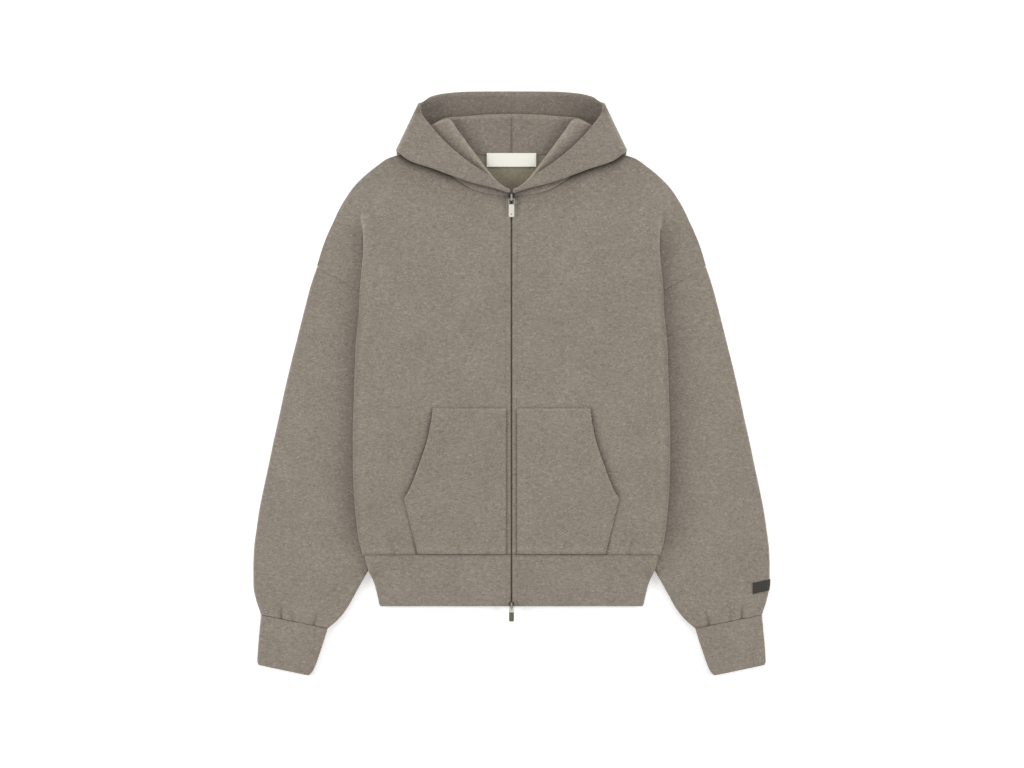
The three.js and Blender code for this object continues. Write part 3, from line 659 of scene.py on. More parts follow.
def paint(mesh: Mesh, material: Material, chosen: Array) -> None:
    """Give the chosen faces a second material."""
    mesh.materials.append(material)
    mesh.polygons.foreach_set("material_index", chosen.astype(np.int32))


def dress(obj: Object, material: Material, node: str,
          stands_for: bool = True, body: str = BODY) -> None:
    """Give a piece its finish and its body.

    Args:
        obj: the piece.
        material: its finish.
        node: the solid that it dresses.
        stands_for: whether it replaces that solid.
        body: what it moves with.
    """
    obj.data.materials.append(material)
    if stands_for:
        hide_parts(node)
    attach(obj, body)
    log.info("%s: %d faces", obj.name, len(obj.data.polygons))


def sew(name: str, patches: list[Patch], thick: float, material: Material,
        cut: tuple[float, float], held: str = "laid", share: float = 0.0, **on: list) -> Object:
    """Make a piece of cloth with its finish and body.

    Args:
        name: the piece's name, its solid's name and a last word for the cloth.
        patches: grids of the wall's middle.
        thick: the wall, mm.
        material: its finish.
        cut: the sheet's width and length, m; not used.
        held: how the sheet lies; not used.
        share: the piece's share of the cut, or 0 where the patches give its area; not used.
        on: rests_on with the pieces under it, where the sheet says so; not used.

    Returns:
        The finished object.
    """
    made = wall(name, patches, thick)
    dress(made, material, name.rsplit("_", 1)[0])
    return made


def graded(count: int, length: float, soft: float = FREE) -> Array:
    """Shares from 0 to 1 with extra stations near both ends for a rounded edge."""
    ends = EDGE_SHARES * soft / max(length, 4 * soft)
    inner = np.linspace(ends[-1], 1 - ends[-1], count)[1:-1]
    return np.concatenate([ends, inner, 1 - ends[::-1]])


def stitch_shares(count: int, width: float) -> Array:
    """Shares across a front from the zip, with stations of their own beside the topstitching."""
    t = graded(count, width)[:-EDGE]
    own = (STITCH_STATIONS - ZIP_GAP) / width
    t = np.unique(np.concatenate([t[np.abs(t[:, None] - own).min(axis=1) > 0.004], own]))
    return (t / t[-1])[None, :]


def add_node(tree: NodeTree, kind: str, settings: dict | None = None,
             links: dict | None = None) -> Node:
    """Add a node with its settings and links.

    Args:
        tree: where it goes.
        kind: Blender's node type.
        settings: attributes, or input values under their socket names or numbers.
        links: input socket name or number to the output socket that feeds it.

    Returns:
        The node.
    """
    node = tree.nodes.new(kind)
    for key, value in (settings or {}).items():
        if isinstance(key, str) and hasattr(node, key) and key not in node.inputs:
            setattr(node, key, value)
        else:
            node.inputs[key].default_value = value
    for key, output in (links or {}).items():
        tree.links.new(output, node.inputs[key])
    return node


def set_values(node: Node, values: dict) -> None:
    """Set a node's inputs by their names."""
    for key, value in values.items():
        node.inputs[key].default_value = value


def linear(code: str) -> tuple[float, float, float, float]:
    """An sRGB hex value as linear red, green and blue, and an alpha of 1."""
    c = np.array([int(code[i : i + 2], 16) / 255 for i in (1, 3, 5)])
    c = np.where(c <= 0.04045, c / 12.92, ((c + 0.055) / 1.055) ** 2.4)
    return (*c.tolist(), 1.0)


def ramp(tree: NodeTree, source: NodeSocket,
         stops: list[tuple[float, str]]) -> NodeSocket:
    """Colours between stops of a 0 to 1 source, as the ramp's output."""
    node = add_node(tree, "ShaderNodeValToRGB", links={"Fac": source})
    while len(node.color_ramp.elements) < len(stops):
        node.color_ramp.elements.new(0.5)
    for element, (place, code) in zip(node.color_ramp.elements, stops):
        element.position, element.color = place, linear(code)
    return node.outputs["Color"]


def new_material(name: str) -> tuple[Material, NodeTree, Node]:
    """A material with its tree and its Principled shader."""
    made = bpy.data.materials.new(name)
    made.use_nodes = True
    return made, made.node_tree, made.node_tree.nodes["Principled BSDF"]


def object_place(tree: NodeTree) -> NodeSocket:
    """The object's own coordinates."""
    return add_node(tree, "ShaderNodeTexCoord").outputs["Object"]


def noise(tree: NodeTree, place: NodeSocket, scale: float,
          **more: float) -> NodeSocket:
    """A noise of so many cells to a metre, two octaves deep where nothing else is said."""
    return add_node(tree, "ShaderNodeTexNoise", {"Scale": scale, "Detail": 2.0, **more},
                    {"Vector": place}).outputs["Fac"]


def emboss(tree: NodeTree, shader: Node, height: NodeSocket,
           strength: float, deep: float) -> None:
    """Raise a finish by a height, so many mm deep, in its normal."""
    bump = add_node(tree, "ShaderNodeBump", {"Strength": strength, "Distance": deep * MM},
                    {"Height": height})
    tree.links.new(bump.outputs[0], shader.inputs["Normal"])


@dataclass(frozen=True)
class BrushedFleece:
    """Heavy cotton fleece, brushed outside: matt, a marl of three yarn tones under a short pile.

    The eye sees small curled flecks, wider than they are tall, over a slow unevenness of tone.
    """

    name: str = "brushed_heather_fleece"
    dark: str = "#726A61"
    middle: str = "#887F74"
    light: str = "#A0978B"
    fleck_mm: float = 3.4
    grain_mm: float = 0.8
    patch_mm: float = 55.0
    pile_mm: float = 0.5

    def build(self) -> Material:
        """Flecks as a twisted noise squeezed along Y, grain as a finer one, tone as a slow one.

        The colour is a ramp of their mix, times the shade stored on the cloth; the pile is a bump
        of the same mix, so light flecks stand up.
        """
        made, tree, shader = new_material(self.name)
        place = object_place(tree)
        knit = add_node(tree, "ShaderNodeMapping", {"Scale": (0.75, 1.25, 1.0)}, {"Vector": place})
        fleck = noise(tree, knit.outputs[0], 1000 / self.fleck_mm, Roughness=0.5, Distortion=1.4)
        grain = noise(tree, place, 1000 / self.grain_mm, Roughness=0.6)
        patch = noise(tree, place, 1000 / self.patch_mm)
        marl = add_node(tree, "ShaderNodeMix", {"data_type": "FLOAT", 0: 0.3},
                        {2: fleck, 3: grain})
        tone = add_node(tree, "ShaderNodeMath", {"operation": "MULTIPLY_ADD", 1: 0.12, 2: -0.06},
                        {0: patch})
        mixed = add_node(tree, "ShaderNodeMath", {"operation": "ADD"},
                         {0: marl.outputs[0], 1: tone.outputs[0]})
        colour = ramp(tree, mixed.outputs[0],
                      [(0.3, self.dark), (0.5, self.middle), (0.7, self.light)])
        shade = add_node(tree, "ShaderNodeAttribute", {"attribute_name": "shade"})
        shaded = add_node(tree, "ShaderNodeVectorMath", {"operation": "SCALE"},
                          {0: colour, "Scale": shade.outputs["Fac"]})
        tree.links.new(shaded.outputs[0], shader.inputs["Base Color"])
        emboss(tree, shader, marl.outputs[0], 0.45, self.pile_mm)
        set_values(shader, {"Roughness": 0.95, "Specular IOR Level": 0.15, "Sheen Weight": 0.2,
                            "Sheen Roughness": 0.5})
        return made


@dataclass(frozen=True)
class Woven:
    """Polyester tape, label or thread: plain weave, matt, its threads just seen."""

    name: str
    dark: str
    light: str
    thread_mm: float = 0.5

    def build(self) -> Material:
        """Warp and weft as two crossed bands, shown in colour and bump."""
        made, tree, shader = new_material(self.name)
        place = object_place(tree)
        bands = [
            add_node(tree, "ShaderNodeTexWave",
                     {"bands_direction": axis, "Scale": 50 / self.thread_mm, "Distortion": 0.6,
                      "Detail": 1.0}, {"Vector": place}).outputs["Fac"]
            for axis in ("X", "Y")
        ]
        both = add_node(tree, "ShaderNodeMath", {"operation": "MULTIPLY"},
                        {0: bands[0], 1: bands[1]})
        colour = ramp(tree, both.outputs[0], [(0.0, self.dark), (0.6, self.light)])
        tree.links.new(colour, shader.inputs["Base Color"])
        emboss(tree, shader, both.outputs[0], 0.4, 0.1)
        shader.inputs["Roughness"].default_value = 0.8
        return made


@dataclass(frozen=True)
class Hard:
    """A cast slider, moulded tab or nylon coil: satin, with the faint unevenness of its coating."""

    name: str
    colour: str
    metallic: float
    roughness: float

    def build(self) -> Material:
        """One colour, with roughness and bump from a fine noise."""
        made, tree, shader = new_material(self.name)
        place = object_place(tree)
        grit = noise(tree, place, 1200.0, Detail=3.0)
        rough = add_node(tree, "ShaderNodeMapRange",
                         {"To Min": self.roughness - 0.08, "To Max": self.roughness + 0.08},
                         {"Value": grit})
        tree.links.new(rough.outputs[0], shader.inputs["Roughness"])
        emboss(tree, shader, grit, 0.15, 0.05)
        set_values(shader, {"Base Color": linear(self.colour), "Metallic": self.metallic})
        return made


FLEECE = BrushedFleece()
REVERSE = BrushedFleece("looped_reverse", "#6E6959", "#817A68", "#948D7A", 2.2, 0.9, 40.0, 0.5)
TAPE_WEAVE = Woven("woven_zip_tape", "#5A4E43", "#776A5D", 0.6)
NECK_WEAVE = Woven("woven_neck_label", "#E8E5DA", "#ECE9DE", 0.4)
SLEEVE_WEAVE = Woven("woven_sleeve_label", "#2B2824", "#443F3A", 0.4)
THREAD = Woven("polyester_sewing_thread", "#7A6F63", "#988D80", 0.3)
LABEL_THREAD = Woven("pale_sewing_thread", "#B9B1A2", "#D8D1C4", 0.3)
COIL = Hard("nylon_coil", "#6B5C4E", 0.0, 0.45)
DARK_METAL = Hard("plated_zinc_dark", "#585752", 1.0, 0.3)
# a lighter copy of the zinc: a painted highlight on the sliders' bridges and the pulls' rings
PAINTED_GLINT_ZINC = Hard("polished_zinc", "#C9C6BE", 1.0, 0.5)
PALE_TAB = Hard("moulded_pull_pale", "#DAD5CB", 0.0, 0.4)


@dataclass
class Torso:
    """Two fronts that fold under at their sides, and the back between them."""

    front_cut: tuple[float, float] = (0.36, 0.62)
    back_cut: tuple[float, float] = (0.6, 0.62)
    across: int = 96
    in_turn: int = 8
    width: float = 218.0
    beyond_fold: int = 44  # columns of an upper grid that lie past its fold

    def front_patches(self, side: Side) -> list[Patch]:
        """The front as an upper grid, with its pleat and shoulder, and a lower one.

        Each row runs along the front to the fold, round it and under. Upper rows turn back out
        through the pleat to the armhole; lower rows end at the side seam.
        """
        upper = np.unique(np.concatenate([np.linspace(0, 0.3, 5), np.linspace(0.3, UNDERARM, 110)]))
        last = len(FRONT) - 1
        lower = np.unique(np.concatenate([
            np.linspace(UNDERARM, 26, 90), np.linspace(26, 26.94, 24), [26.96, 26.975, 26.99, last]]))
        grids = [self.front_grid(side, rows) for rows in (upper, lower)]
        columns, shared = (grid.shape[1] for grid in grids)
        behind = np.arange(columns)[None, :] >= columns - self.beyond_fold
        shades = []
        for grid in grids:
            h, y = np.abs(grid[..., 0]), grid[..., 1]
            # painted shade and highlights beside the pocket, the hem seam, the hood's crease and the side
            # fold
            shades.append(1 - pocket_shade(h, y) - seam_shade(h, y))
            under = behind[:, : grid.shape[1]] if grid is grids[0] else False
            shades[-1] -= np.where(under, fold_shade(h, y), fold_light(h, y))
        return [
            Patch(grids[0], joined=shared, first=SEWN, last=SEWN, right=SEWN, shade=shades[0]),
            Patch(grids[1], ids=(len(upper) - 1) * columns + np.arange(shared), first=0, last=SEWN,
                  right=SEWN, shade=shades[1]),
        ]

    def front_grid(self, side: Side, rows: Array) -> Array:
        """Points of one of the front's two grids.

        Args:
            side: which half.
            rows: fractional row numbers of the grid.

        Returns:
            Rows by columns by three coordinates.
        """
        is_upper = rows[0] == 0
        v = hermite(np.arange(len(FRONT)), FRONT[:, [0, 1, 2, 3, 6, 7]], rows)
        out = cornered(FRONT[: UNDERARM + 1, 4:6], ARMHOLE_TOP, np.minimum(rows, UNDERARM))
        in_h, in_y, fold_h, fold_y, turn, tuck = v.T
        in_h = in_h - (FRONT[-1, 0] - ZIP_GAP)
        turn = np.clip(turn, 0, 1)
        blend = smooth(rows - UNDERARM)
        radius = PLEAT_R + (TUBE / 2 - PLEAT_R) * blend
        start = fold_h - radius
        t = stitch_shares(self.across, self.width)
        h = in_h[:, None] + (start - in_h)[:, None] * t
        y = in_y[:, None] + (fold_y - in_y)[:, None] * t
        z = front_z(side, h, y)
        top = z[:, -1:]
        across, up = pleat(turn, tuck, self.in_turn)
        n = self.in_turn
        level = np.repeat(fold_y[:, None], 3 * n, axis=1)
        if is_upper:
            fh, fz = start[:, None] + across, top + up
            e = graded(26, 60, SEWN)[EDGE:][None, :]
            e = e / e[:, -1:]
            last_h, last_z = fh[:, -1:], fz[:, -1:]
            eh = last_h + (out[:, :1] - last_h) * e
            ey = fold_y[:, None] + (out[:, 1:] - fold_y[:, None]) * e
            sewn = smooth(ARMHOLE_TOP + 0.2 - rows)[:, None]
            drop = (TUBE - CLOTH - SEAM - 0.1) * sewn * smooth((e - 0.75) / 0.25)
            rest = relief(side, eh, ey) * smooth(e / 0.3) * smooth((1 - e) / 0.3)
            ez = last_z + (back_z(out[:, :1], out[:, 1:]) + TUBE - last_z) * smooth(e) - drop + rest
            parts = [(h, y, z), (fh, level, fz), (eh, ey, ez)]
        else:
            k = np.linspace(0, 1, n + 1)[None, 1:]
            r = radius[:, None]
            bh = start[:, None] + r * np.sin(np.pi * k)
            bz = top - r * (1 - np.cos(np.pi * k))
            end = (sleeve_inside(fold_y) - RAMP - 1.5 + SEAM / 2)[:, None]
            share = np.linspace(0, 1, 2 * n + 1)[None, 1:] ** 0.8
            ch = start[:, None] + (end - start[:, None]) * share
            cz = under_z(ch, level[:, : 2 * n])
            b = blend[:, None]
            ch = (start[:, None] + across[:, n:]) * (1 - b) + ch * b
            cz = (top + up[:, n:]) * (1 - b) + cz * b
            parts = [(h, y, z), (bh, level[:, :n], bz), (ch, level[:, : 2 * n], cz)]
        points = np.concatenate([np.stack(part, axis=-1) for part in parts], axis=1)
        points[..., 0] *= side.value
        return points

    def back_patch(self) -> Patch:
        """The back as rows that bow from side to side by the square of the share across."""
        rows = np.unique(np.concatenate([
            np.linspace(0, 0.1, 5), np.linspace(0.1, 22.8, 150), np.linspace(22.8, 23, 5)]))
        table = BACK.copy()
        none = table[:, 0] == 0
        table[none, 0] = sleeve_inside(table[none, 1]) - RAMP - 1.5 - SEAM / 2
        v = cornered(table, BACK_ARMHOLE_TOP, rows)
        t = 2 * graded(90, 400)[None, :] - 1
        h = t * v[:, :1]
        y = v[:, 2:3] + (v[:, 1:2] - v[:, 2:3]) * t * t
        return Patch(np.stack([h, y, back_z(np.abs(h), y)], axis=-1), first=SEWN, last=SEWN,
                     left=SEWN, right=SEWN)

    def build(self, fleece: Material) -> None:
        """Make the fronts and the back; the back shows its reverse inside the neck."""
        for side in Side:
            patches = self.front_patches(side)
            sew(f"front_{side.word}_cloth", patches, CLOTH, fleece, self.front_cut, "folded",
                rests_on=["back_cloth", f"sleeve_{side.word}_cloth"])
        made = sew("back_cloth", [self.back_patch()], CLOTH, fleece, self.back_cut).data
        up = face_values(made, "normal")[:, 2] > 0
        paint(made, REVERSE.build(), (face_values(made, "center")[:, 1] > REVERSE_FROM) & up)


@dataclass
class Tubes:
    """Sleeves and cuffs: flattened tubes between an outer and an inner edge."""

    sleeve_cut: tuple[float, float] = (0.40, 0.60)
    cuff_cut: tuple[float, float] = (0.21, 0.09)
    across: int = 64
    row_pitch: float = 28.0  # between rows of the sleeve's table, mm

    def ring(self, table: Array, side: Side, thick: float, low: float, high: float,
             rows: int, is_sleeve: bool) -> Patch:
        """Rings of two straight walls joined by half circles.

        Args:
            table: outer and inner edge by row.
            side: which half.
            thick: the wall.
            low: middle of the under wall.
            high: middle of the upper wall.
            rows: rings along the tube.
            is_sleeve: whether the upper wall has waves, gathers and the shade beside the torso.

        Returns:
            The tube's patch.
        """
        last = len(table) - 1
        share = graded(rows, 400 if is_sleeve else 80) * last
        v = hermite(np.arange(len(table)), table, share)
        length = np.hypot(v[:, 0] - v[:, 2], v[:, 1] - v[:, 3])[:, None]
        r = (high - low) / 2
        shrink = (r + thick / 2) / length
        top = np.linspace(0, 1, self.across)[None, :]
        a = np.linspace(0, 1, 10)[None, 1:-1] * np.pi
        t = np.concatenate([
            shrink + (1 - 2 * shrink) * top,
            1 - shrink + np.sin(a) * r / length,
            1 - shrink - (1 - 2 * shrink) * top,
            shrink - np.sin(a) * r / length,
        ], axis=1)
        round_z = low + r + r * np.cos(a)
        z = np.concatenate([
            np.full(top.shape, high), round_z, np.full(top.shape, low), round_z[:, ::-1]], axis=1)
        h = v[:, :1] + (v[:, 2:3] - v[:, :1]) * t
        y = v[:, 1:2] + (v[:, 3:4] - v[:, 1:2]) * t
        z = np.repeat(z, len(share), axis=0)
        shade = np.ones_like(h)
        edge = smooth(top / 0.12) * smooth((1 - top) / 0.12)
        upper = slice(0, self.across)
        if is_sleeve:
            away = (last - share)[:, None] * self.row_pitch
            z[:, upper] -= gathers(SLEEVE_GATHERS, h, y)[:, upper] * edge
            z[:, upper] += (pucker(side, h[:, upper], away) + relief(side, h[:, upper], y[:, upper])
                            * smooth(away / 40)) * edge
            # painted shade beside the torso's fold, in the gathers, at the cuff seam and at the armhole
            # seam
            shade = 1 - fold_shade(h, y) - 0.13 * gathers(SLEEVE_GATHERS, h, y)
            shade -= 0.08 * fade(away, 4) + 0.12 * fade(share[:, None] * self.row_pitch, 2.5)
        else:
            swell = np.sin(np.pi * share / last)[:, None]
            z[:, upper] += 0.3 * swell * edge + 0.15 * np.sin(h[:, upper] / 9 + y[:, upper] / 31) * edge
        return Patch(np.stack([h * side.value, y, z], axis=-1), ring=True, left=0, right=0,
                     first=SEWN, last=SEWN if is_sleeve else FREE, shade=shade)

    def build(self, fleece: Material) -> None:
        """Make both sleeves and both cuffs."""
        for side in Side:
            sleeve = self.ring(SLEEVE, side, CLOTH, FLOOR, FLOOR + TUBE, 150, True)
            sew(f"sleeve_{side.word}_cloth", [sleeve], CLOTH, fleece, self.sleeve_cut)
            cuff = self.ring(CUFF, side, BAND_CLOTH, BAND_CLOTH / 2, FLOOR + TUBE, 30, False)
            sew(f"cuff_{side.word}_cloth", [cuff], BAND_CLOTH, fleece, self.cuff_cut)


@dataclass
class HemBand:
    """The band round the bottom, from zip edge to zip edge."""

    cut: tuple[float, float] = (0.86, 0.09)

    def patch(self) -> Patch:
        """Rows from the left front edge, round the side, along the back and round again."""
        y = HEM[0, 0] + (HEM_END - HEM[0, 0]) * graded(30, 78)
        edge = column(HEM, 0, 1, y) - BAND_CLOTH / 2
        yy = y[:, None]
        t = stitch_shares(76, 210)
        a = np.linspace(0, 1, 10)[None, 1:-1] * np.pi
        low = hem_low(edge, y)[:, None]
        halves = {}
        for side in Side:
            high = hem_high(side, edge, y)[:, None]
            r = (high - low) / 2
            inner = edge[:, None] - r
            front_h = ZIP_GAP + (inner - ZIP_GAP) * t
            halves[side] = (
                front_h, hem_high(side, front_h, yy),
                inner + r * np.sin(a), low + r + r * np.cos(a), inner)
        left, right = halves[Side.LEFT], halves[Side.RIGHT]
        share = np.linspace(0, 1, 121)[None, :]
        under_h = left[4] - (left[4] + right[4]) * share
        under = hem_low(np.abs(under_h), np.broadcast_to(yy, under_h.shape))
        h = np.concatenate([left[0], left[2], under_h, -right[2][:, ::-1], -right[0][:, ::-1]], axis=1)
        z = np.concatenate([left[1], left[3], under, right[3][:, ::-1], right[1][:, ::-1]], axis=1)
        # painted shade along the hem seam
        shade = 1 - 0.2 * fade(HEM[0, 0] - yy, 1.3)
        return Patch(np.stack([h, np.broadcast_to(yy, h.shape), z], axis=-1), first=SEWN, shade=shade)

    def build(self, fleece: Material) -> None:
        """Make the band."""
        sew("hem_band_cloth", [self.patch()], BAND_CLOTH, fleece, self.cut)


def along(line: Array, shares: Array) -> Array:
    """Points of a plan line at shares of its length, on a monotone cubic of its chord length."""
    line = np.asarray(line, float)
    chord = np.concatenate([[0], np.cumsum(np.linalg.norm(np.diff(line, axis=0), axis=1))])
    return hermite(chord, line, shares * chord[-1])


@dataclass
class Hood:
    """Two self-lined halves that roll over twice: neck, roll, crease and rim."""

    cut: tuple[float, float] = (0.36, 0.60)
    neck_reach: float = 0.3
    front_stations: int = 64
    back_stations: int = 50
    front_reach: float = 0.93  # share of a front line at which the turn round the side begins
    push: float = 1.8  # that a side fold bulges by where the cloth turns over, mm
    top_layer: float = 12.0  # heights that part the layers, mm
    bottom_layer: float = 6.0

    def rows(self) -> dict[str, Array]:
        """Plan lines, side folds, heights and leg of every row from the neck to the rim."""
        front_share = np.linspace(0, self.front_reach, self.front_stations)
        back_share = 1 - (1 - 1 / 8) * graded(self.back_stations, 140, SEWN)[::-1]
        lines = [
            (along(np.array([*f, s]), front_share), along(np.array([s, *b]), back_share))
            for f, s, b in (NECK_LINE, ROLL_LINE, CREASE_LINE, RIM_LINE)
        ]

        def pulled(a: Array, b: Array, share: float) -> Array:
            """Points of a moved towards b by a share of the fold's reach."""
            d = np.linalg.norm(b - a, axis=1, keepdims=True)
            return a + (b - a) * np.minimum(0.45, share * FOLD_PULL / np.maximum(d, 1e-6))

        kept: dict[str, list] = {key: [] for key in ("front", "back", "side", "high", "low", "leg")}

        def add(*values: object) -> None:
            """Keep one row."""
            for key, value in zip(kept, values):
                kept[key].append(value)

        for k, (zf, zb, fold) in enumerate(LEGS):
            fold = np.array(fold, float)
            one, two = lines[k], lines[k + 1]
            reach = -self.neck_reach / FOLD_PULL if k == 0 else 1
            start = tuple(pulled(a, b, reach) for a, b in zip(one, two))
            end = two if k == 2 else tuple(pulled(b, a, 1) for a, b in zip(one, two))
            shares = graded(14 if k == 0 else 34, 60 if k == 0 else 200)
            shares = shares if k == 0 else shares[EDGE:] if k == 2 else shares[EDGE:-EDGE]
            shares = (shares - shares[0]) / (shares[-1] - shares[0])
            if k == 0:
                shares = shares[:-EDGE] / shares[-EDGE - 1]
            for t in shares:
                add(start[0] + (end[0] - start[0]) * t, start[1] + (end[1] - start[1]) * t,
                    fold[0] + (fold[1] - fold[0]) * t, zf, zb, k + t)
            if k < 2:
                next_f, next_b, next_fold = LEGS[k + 1]
                after = lines[k + 2]
                s0, s1 = fold[1], np.array(next_fold[0], float)
                push = self.push if k == 0 else -self.push
                for a in np.linspace(0, np.pi, 9)[1:-1]:
                    reach = 1 - np.sin(a)
                    other = one if a < np.pi / 2 else after
                    mix = (1 - np.cos(a)) / 2
                    add(pulled(two[0], other[0], reach), pulled(two[1], other[1], reach),
                        s0 + (s1 - s0) * mix + [0, push * np.sin(a)],
                        zf + (next_f - zf) * mix, zb + (next_b - zb) * mix, k + 1.0)
        return {key: np.array(value) for key, value in kept.items()}

    def patch(self, side: Side) -> Patch:
        """Each row along the front line, round the side as a half circle, and back to the middle.

        Painted shade darkens the inside of the back, deep under the rolled sides, and the cloth beside the
        rim, the roll and the crease; painted highlights run along the rolled edges and the rim.
        """
        v = self.rows()
        front, back, s = v["front"], v["back"], v["side"][:, None, :]
        zf, zb = v["high"][:, None], v["low"][:, None]
        r = (zf - zb) / 2
        to_front = front[:, -1:] - s
        to_front /= np.linalg.norm(to_front, axis=2, keepdims=True)
        to_back = back[:, :1] - s
        to_back /= np.linalg.norm(to_back, axis=2, keepdims=True)
        a = np.linspace(0, np.pi, 19)[None, :]
        reach = (r * (1 - np.sin(a)) + 0.01)[..., None]
        turn = np.where((a < np.pi / 2)[..., None], s + to_front * reach, s + to_back * reach)
        gap = np.linspace(0, 1, 8)[None, 1:-1, None]
        lead = front[:, -1:] + (turn[:, :1] - front[:, -1:]) * gap
        trail = turn[:, -1:] + (back[:, :1] - turn[:, -1:]) * gap
        plan = np.concatenate([front, lead, turn, trail, back], axis=1)
        ahead, behind = front.shape[1] + lead.shape[1], trail.shape[1] + back.shape[1]
        z = np.concatenate([
            zf * np.ones((1, ahead)), zb + r + r * np.cos(a), zb * np.ones((1, behind))], axis=1)
        leg = v["leg"][:, None]
        h, y = np.abs(plan[..., 0]), plan[..., 1]
        # painted shade on the lower layers, the inside of the hood
        deep = smooth((leg - 1.3) / 0.7) * (z < self.bottom_layer) * 0.07 + smooth((11 - z) / 1.5) * 0.17
        # painted shade in the top corner of the rolled side
        corner = smooth((leg - 2.6) / 0.2) * smooth((y - 400) / 6) * smooth((z - 3) / 6) * 0.26
        rim = line_distance(np.array(RIM_LINE[0]), h, y)
        roll = line_distance(np.array(ROLL_LINE[0]), h, y)
        # painted shade beside the rim and the roll
        beside = 0.36 * fade(rim, 8) * ((leg > 1) & (leg < 2)) + 0.22 * fade(roll, 6) * (leg < 1)
        on_top = z > self.top_layer
        # painted highlights on the front roll's edge and on the rim
        front_roll = on_top * bell(leg - 1, 0.09)
        lit = 0.22 * front_roll + 0.24 * bell(leg - 3, 0.02)
        # a darker line along the middle seam; a painted highlight on the roll's edge in the lower layers
        deep = deep + 0.3 * bell(h, 1.1) * (leg < 1)
        lit += 0.2 * (z < self.top_layer) * bell(leg - 1, 0.05)
        # painted shadow under the crease
        crease = line_distance(np.array(CREASE_LINE[0]), h, y)
        under = loss(crease, UNDER_CREASE) * on_top * (leg < 1)
        deep = deep + corner + beside + under + 0.05 * (leg > 1)
        points = np.concatenate([plan, z[..., None]], axis=2)
        points[..., 0] *= side.value
        return Patch(points, first=SEWN, right=SEWN, shade=1 - deep + lit)

    def build(self, fleece: Material) -> None:
        """Make both halves."""
        for side in Side:
            sew(f"hood_{side.word}_cloth", [self.patch(side)], HOOD_CLOTH, fleece, self.cut, "folded")


@dataclass
class Pockets:
    """The two halves of the kangaroo pocket, pressed where they are sewn and lifted at the opening."""

    cut: tuple[float, float] = (0.155, 0.22)
    inner: float = 8.9
    gap: float = 0.9
    sewn_up: float = 2.6
    open_until: float = -174.0

    def height(self, side: Side, h: Array, y: Array, t: Array) -> tuple:
        """Middle of the pocket and the share of its thickness left, by how far it is from a seam."""
        edge = column(POCKET, 0, 1, y)
        is_open = smooth((y - self.open_until) / 8)
        outer = (edge - h) * (1 - is_open) + 40 * is_open
        from_seam = np.minimum.reduce([h - self.inner, POCKET_TOP - y, y - HEM_SEAM, outer])
        free = smooth(np.maximum(from_seam, 0) / 16)
        lift = column(POCKET, 0, 2, y) * smooth((t - 0.75) / 0.25) * 1.15
        up = self.sewn_up + (CLOTH + self.gap - self.sewn_up) * free
        return front_z(side, h, y) + up + lift, 0.6 + 0.4 * free

    def patch(self, side: Side) -> Patch:
        """Rows across from the placket to the opening or the lower seam."""
        low = HEM_SEAM + 0.4
        y = POCKET_TOP + (low - POCKET_TOP) * graded(84, 216)
        edge = column(POCKET, 0, 1, y)[:, None]
        t = graded(64, 150)[None, :]
        h = self.inner + (edge - self.inner) * t
        yy = np.broadcast_to(y[:, None], h.shape)
        z, press = self.height(side, h, yy, t)
        # painted highlights along the open edge, below the top edge and above the hem seam; painted shade
        # at the hem seam and in the gathers
        lit = 0.06 * smooth((t - 0.97) / 0.03) * smooth((yy - self.open_until) / 8)
        lit += 0.2 * bell(POCKET_TOP - 1.8 - yy, 1.3)
        lit += 0.12 * bell(yy - HEM_SEAM - 8, 4.5)
        shade = 1 + lit - 0.22 * fade(yy - HEM_SEAM, 2) - 0.06 * gathers(HEM_GATHERS, h, yy)
        return Patch(np.stack([h * side.value, yy, z], axis=-1), last=SEWN, left=SEWN, press=press,
                     shade=shade)

    def build(self, fleece: Material) -> None:
        """Make both halves."""
        for side in Side:
            sew(f"pocket_{side.word}_cloth", [self.patch(side)], CLOTH, fleece, self.cut,
                rests_on=[f"front_{side.word}_cloth"])


def rods(name: str, centres: Array, ways: Array, lengths: float, radius: float,
         tall: float = 1.0, profile: tuple = (0.35, 0.9, 1.0, 0.9, 0.35)) -> Object:
    """Many small round-ended rods in one mesh.

    Args:
        name: the piece's name.
        centres: middle of each rod, mm.
        ways: unit direction of each.
        lengths: length of a rod.
        radius: its half width.
        tall: its height over its width.
        profile: share of the radius at even stations along it.

    Returns:
        The object, each rod six sided.
    """
    centres, ways = np.asarray(centres, float), np.asarray(ways, float)
    up = np.array([0.0, 0.0, 1.0])
    across = np.cross(ways, up)
    across /= np.linalg.norm(across, axis=1, keepdims=True)
    lift = np.cross(across, ways)
    rings = len(profile)
    s = np.repeat(np.linspace(-0.5, 0.5, rings) * lengths, 6)
    a = np.tile(np.arange(6) * np.pi / 3, rings)
    fat = np.repeat(profile, 6) * radius
    local = np.stack([s, np.cos(a) * fat, np.sin(a) * fat * tall], axis=1)
    points = (centres[:, None] + local[None, :, :1] * ways[:, None] + local[None, :, 1:2]
              * across[:, None] + local[None, :, 2:] * lift[:, None])
    i = np.arange((rings - 1) * 6)
    j = i // 6 * 6 + (i + 1) % 6
    skin = np.stack([i, i + 6, j + 6, j], axis=1)
    end = np.array([[0, 1, 2, 3], [0, 3, 4, 5]])
    caps = np.concatenate([end, end[:, ::-1] + (rings - 1) * 6])
    faces = np.concatenate([skin, caps])[None] + (np.arange(len(centres)) * rings * 6)[:, None, None]
    return mesh_object(name, points.reshape(-1, 3), faces.reshape(-1, 4))


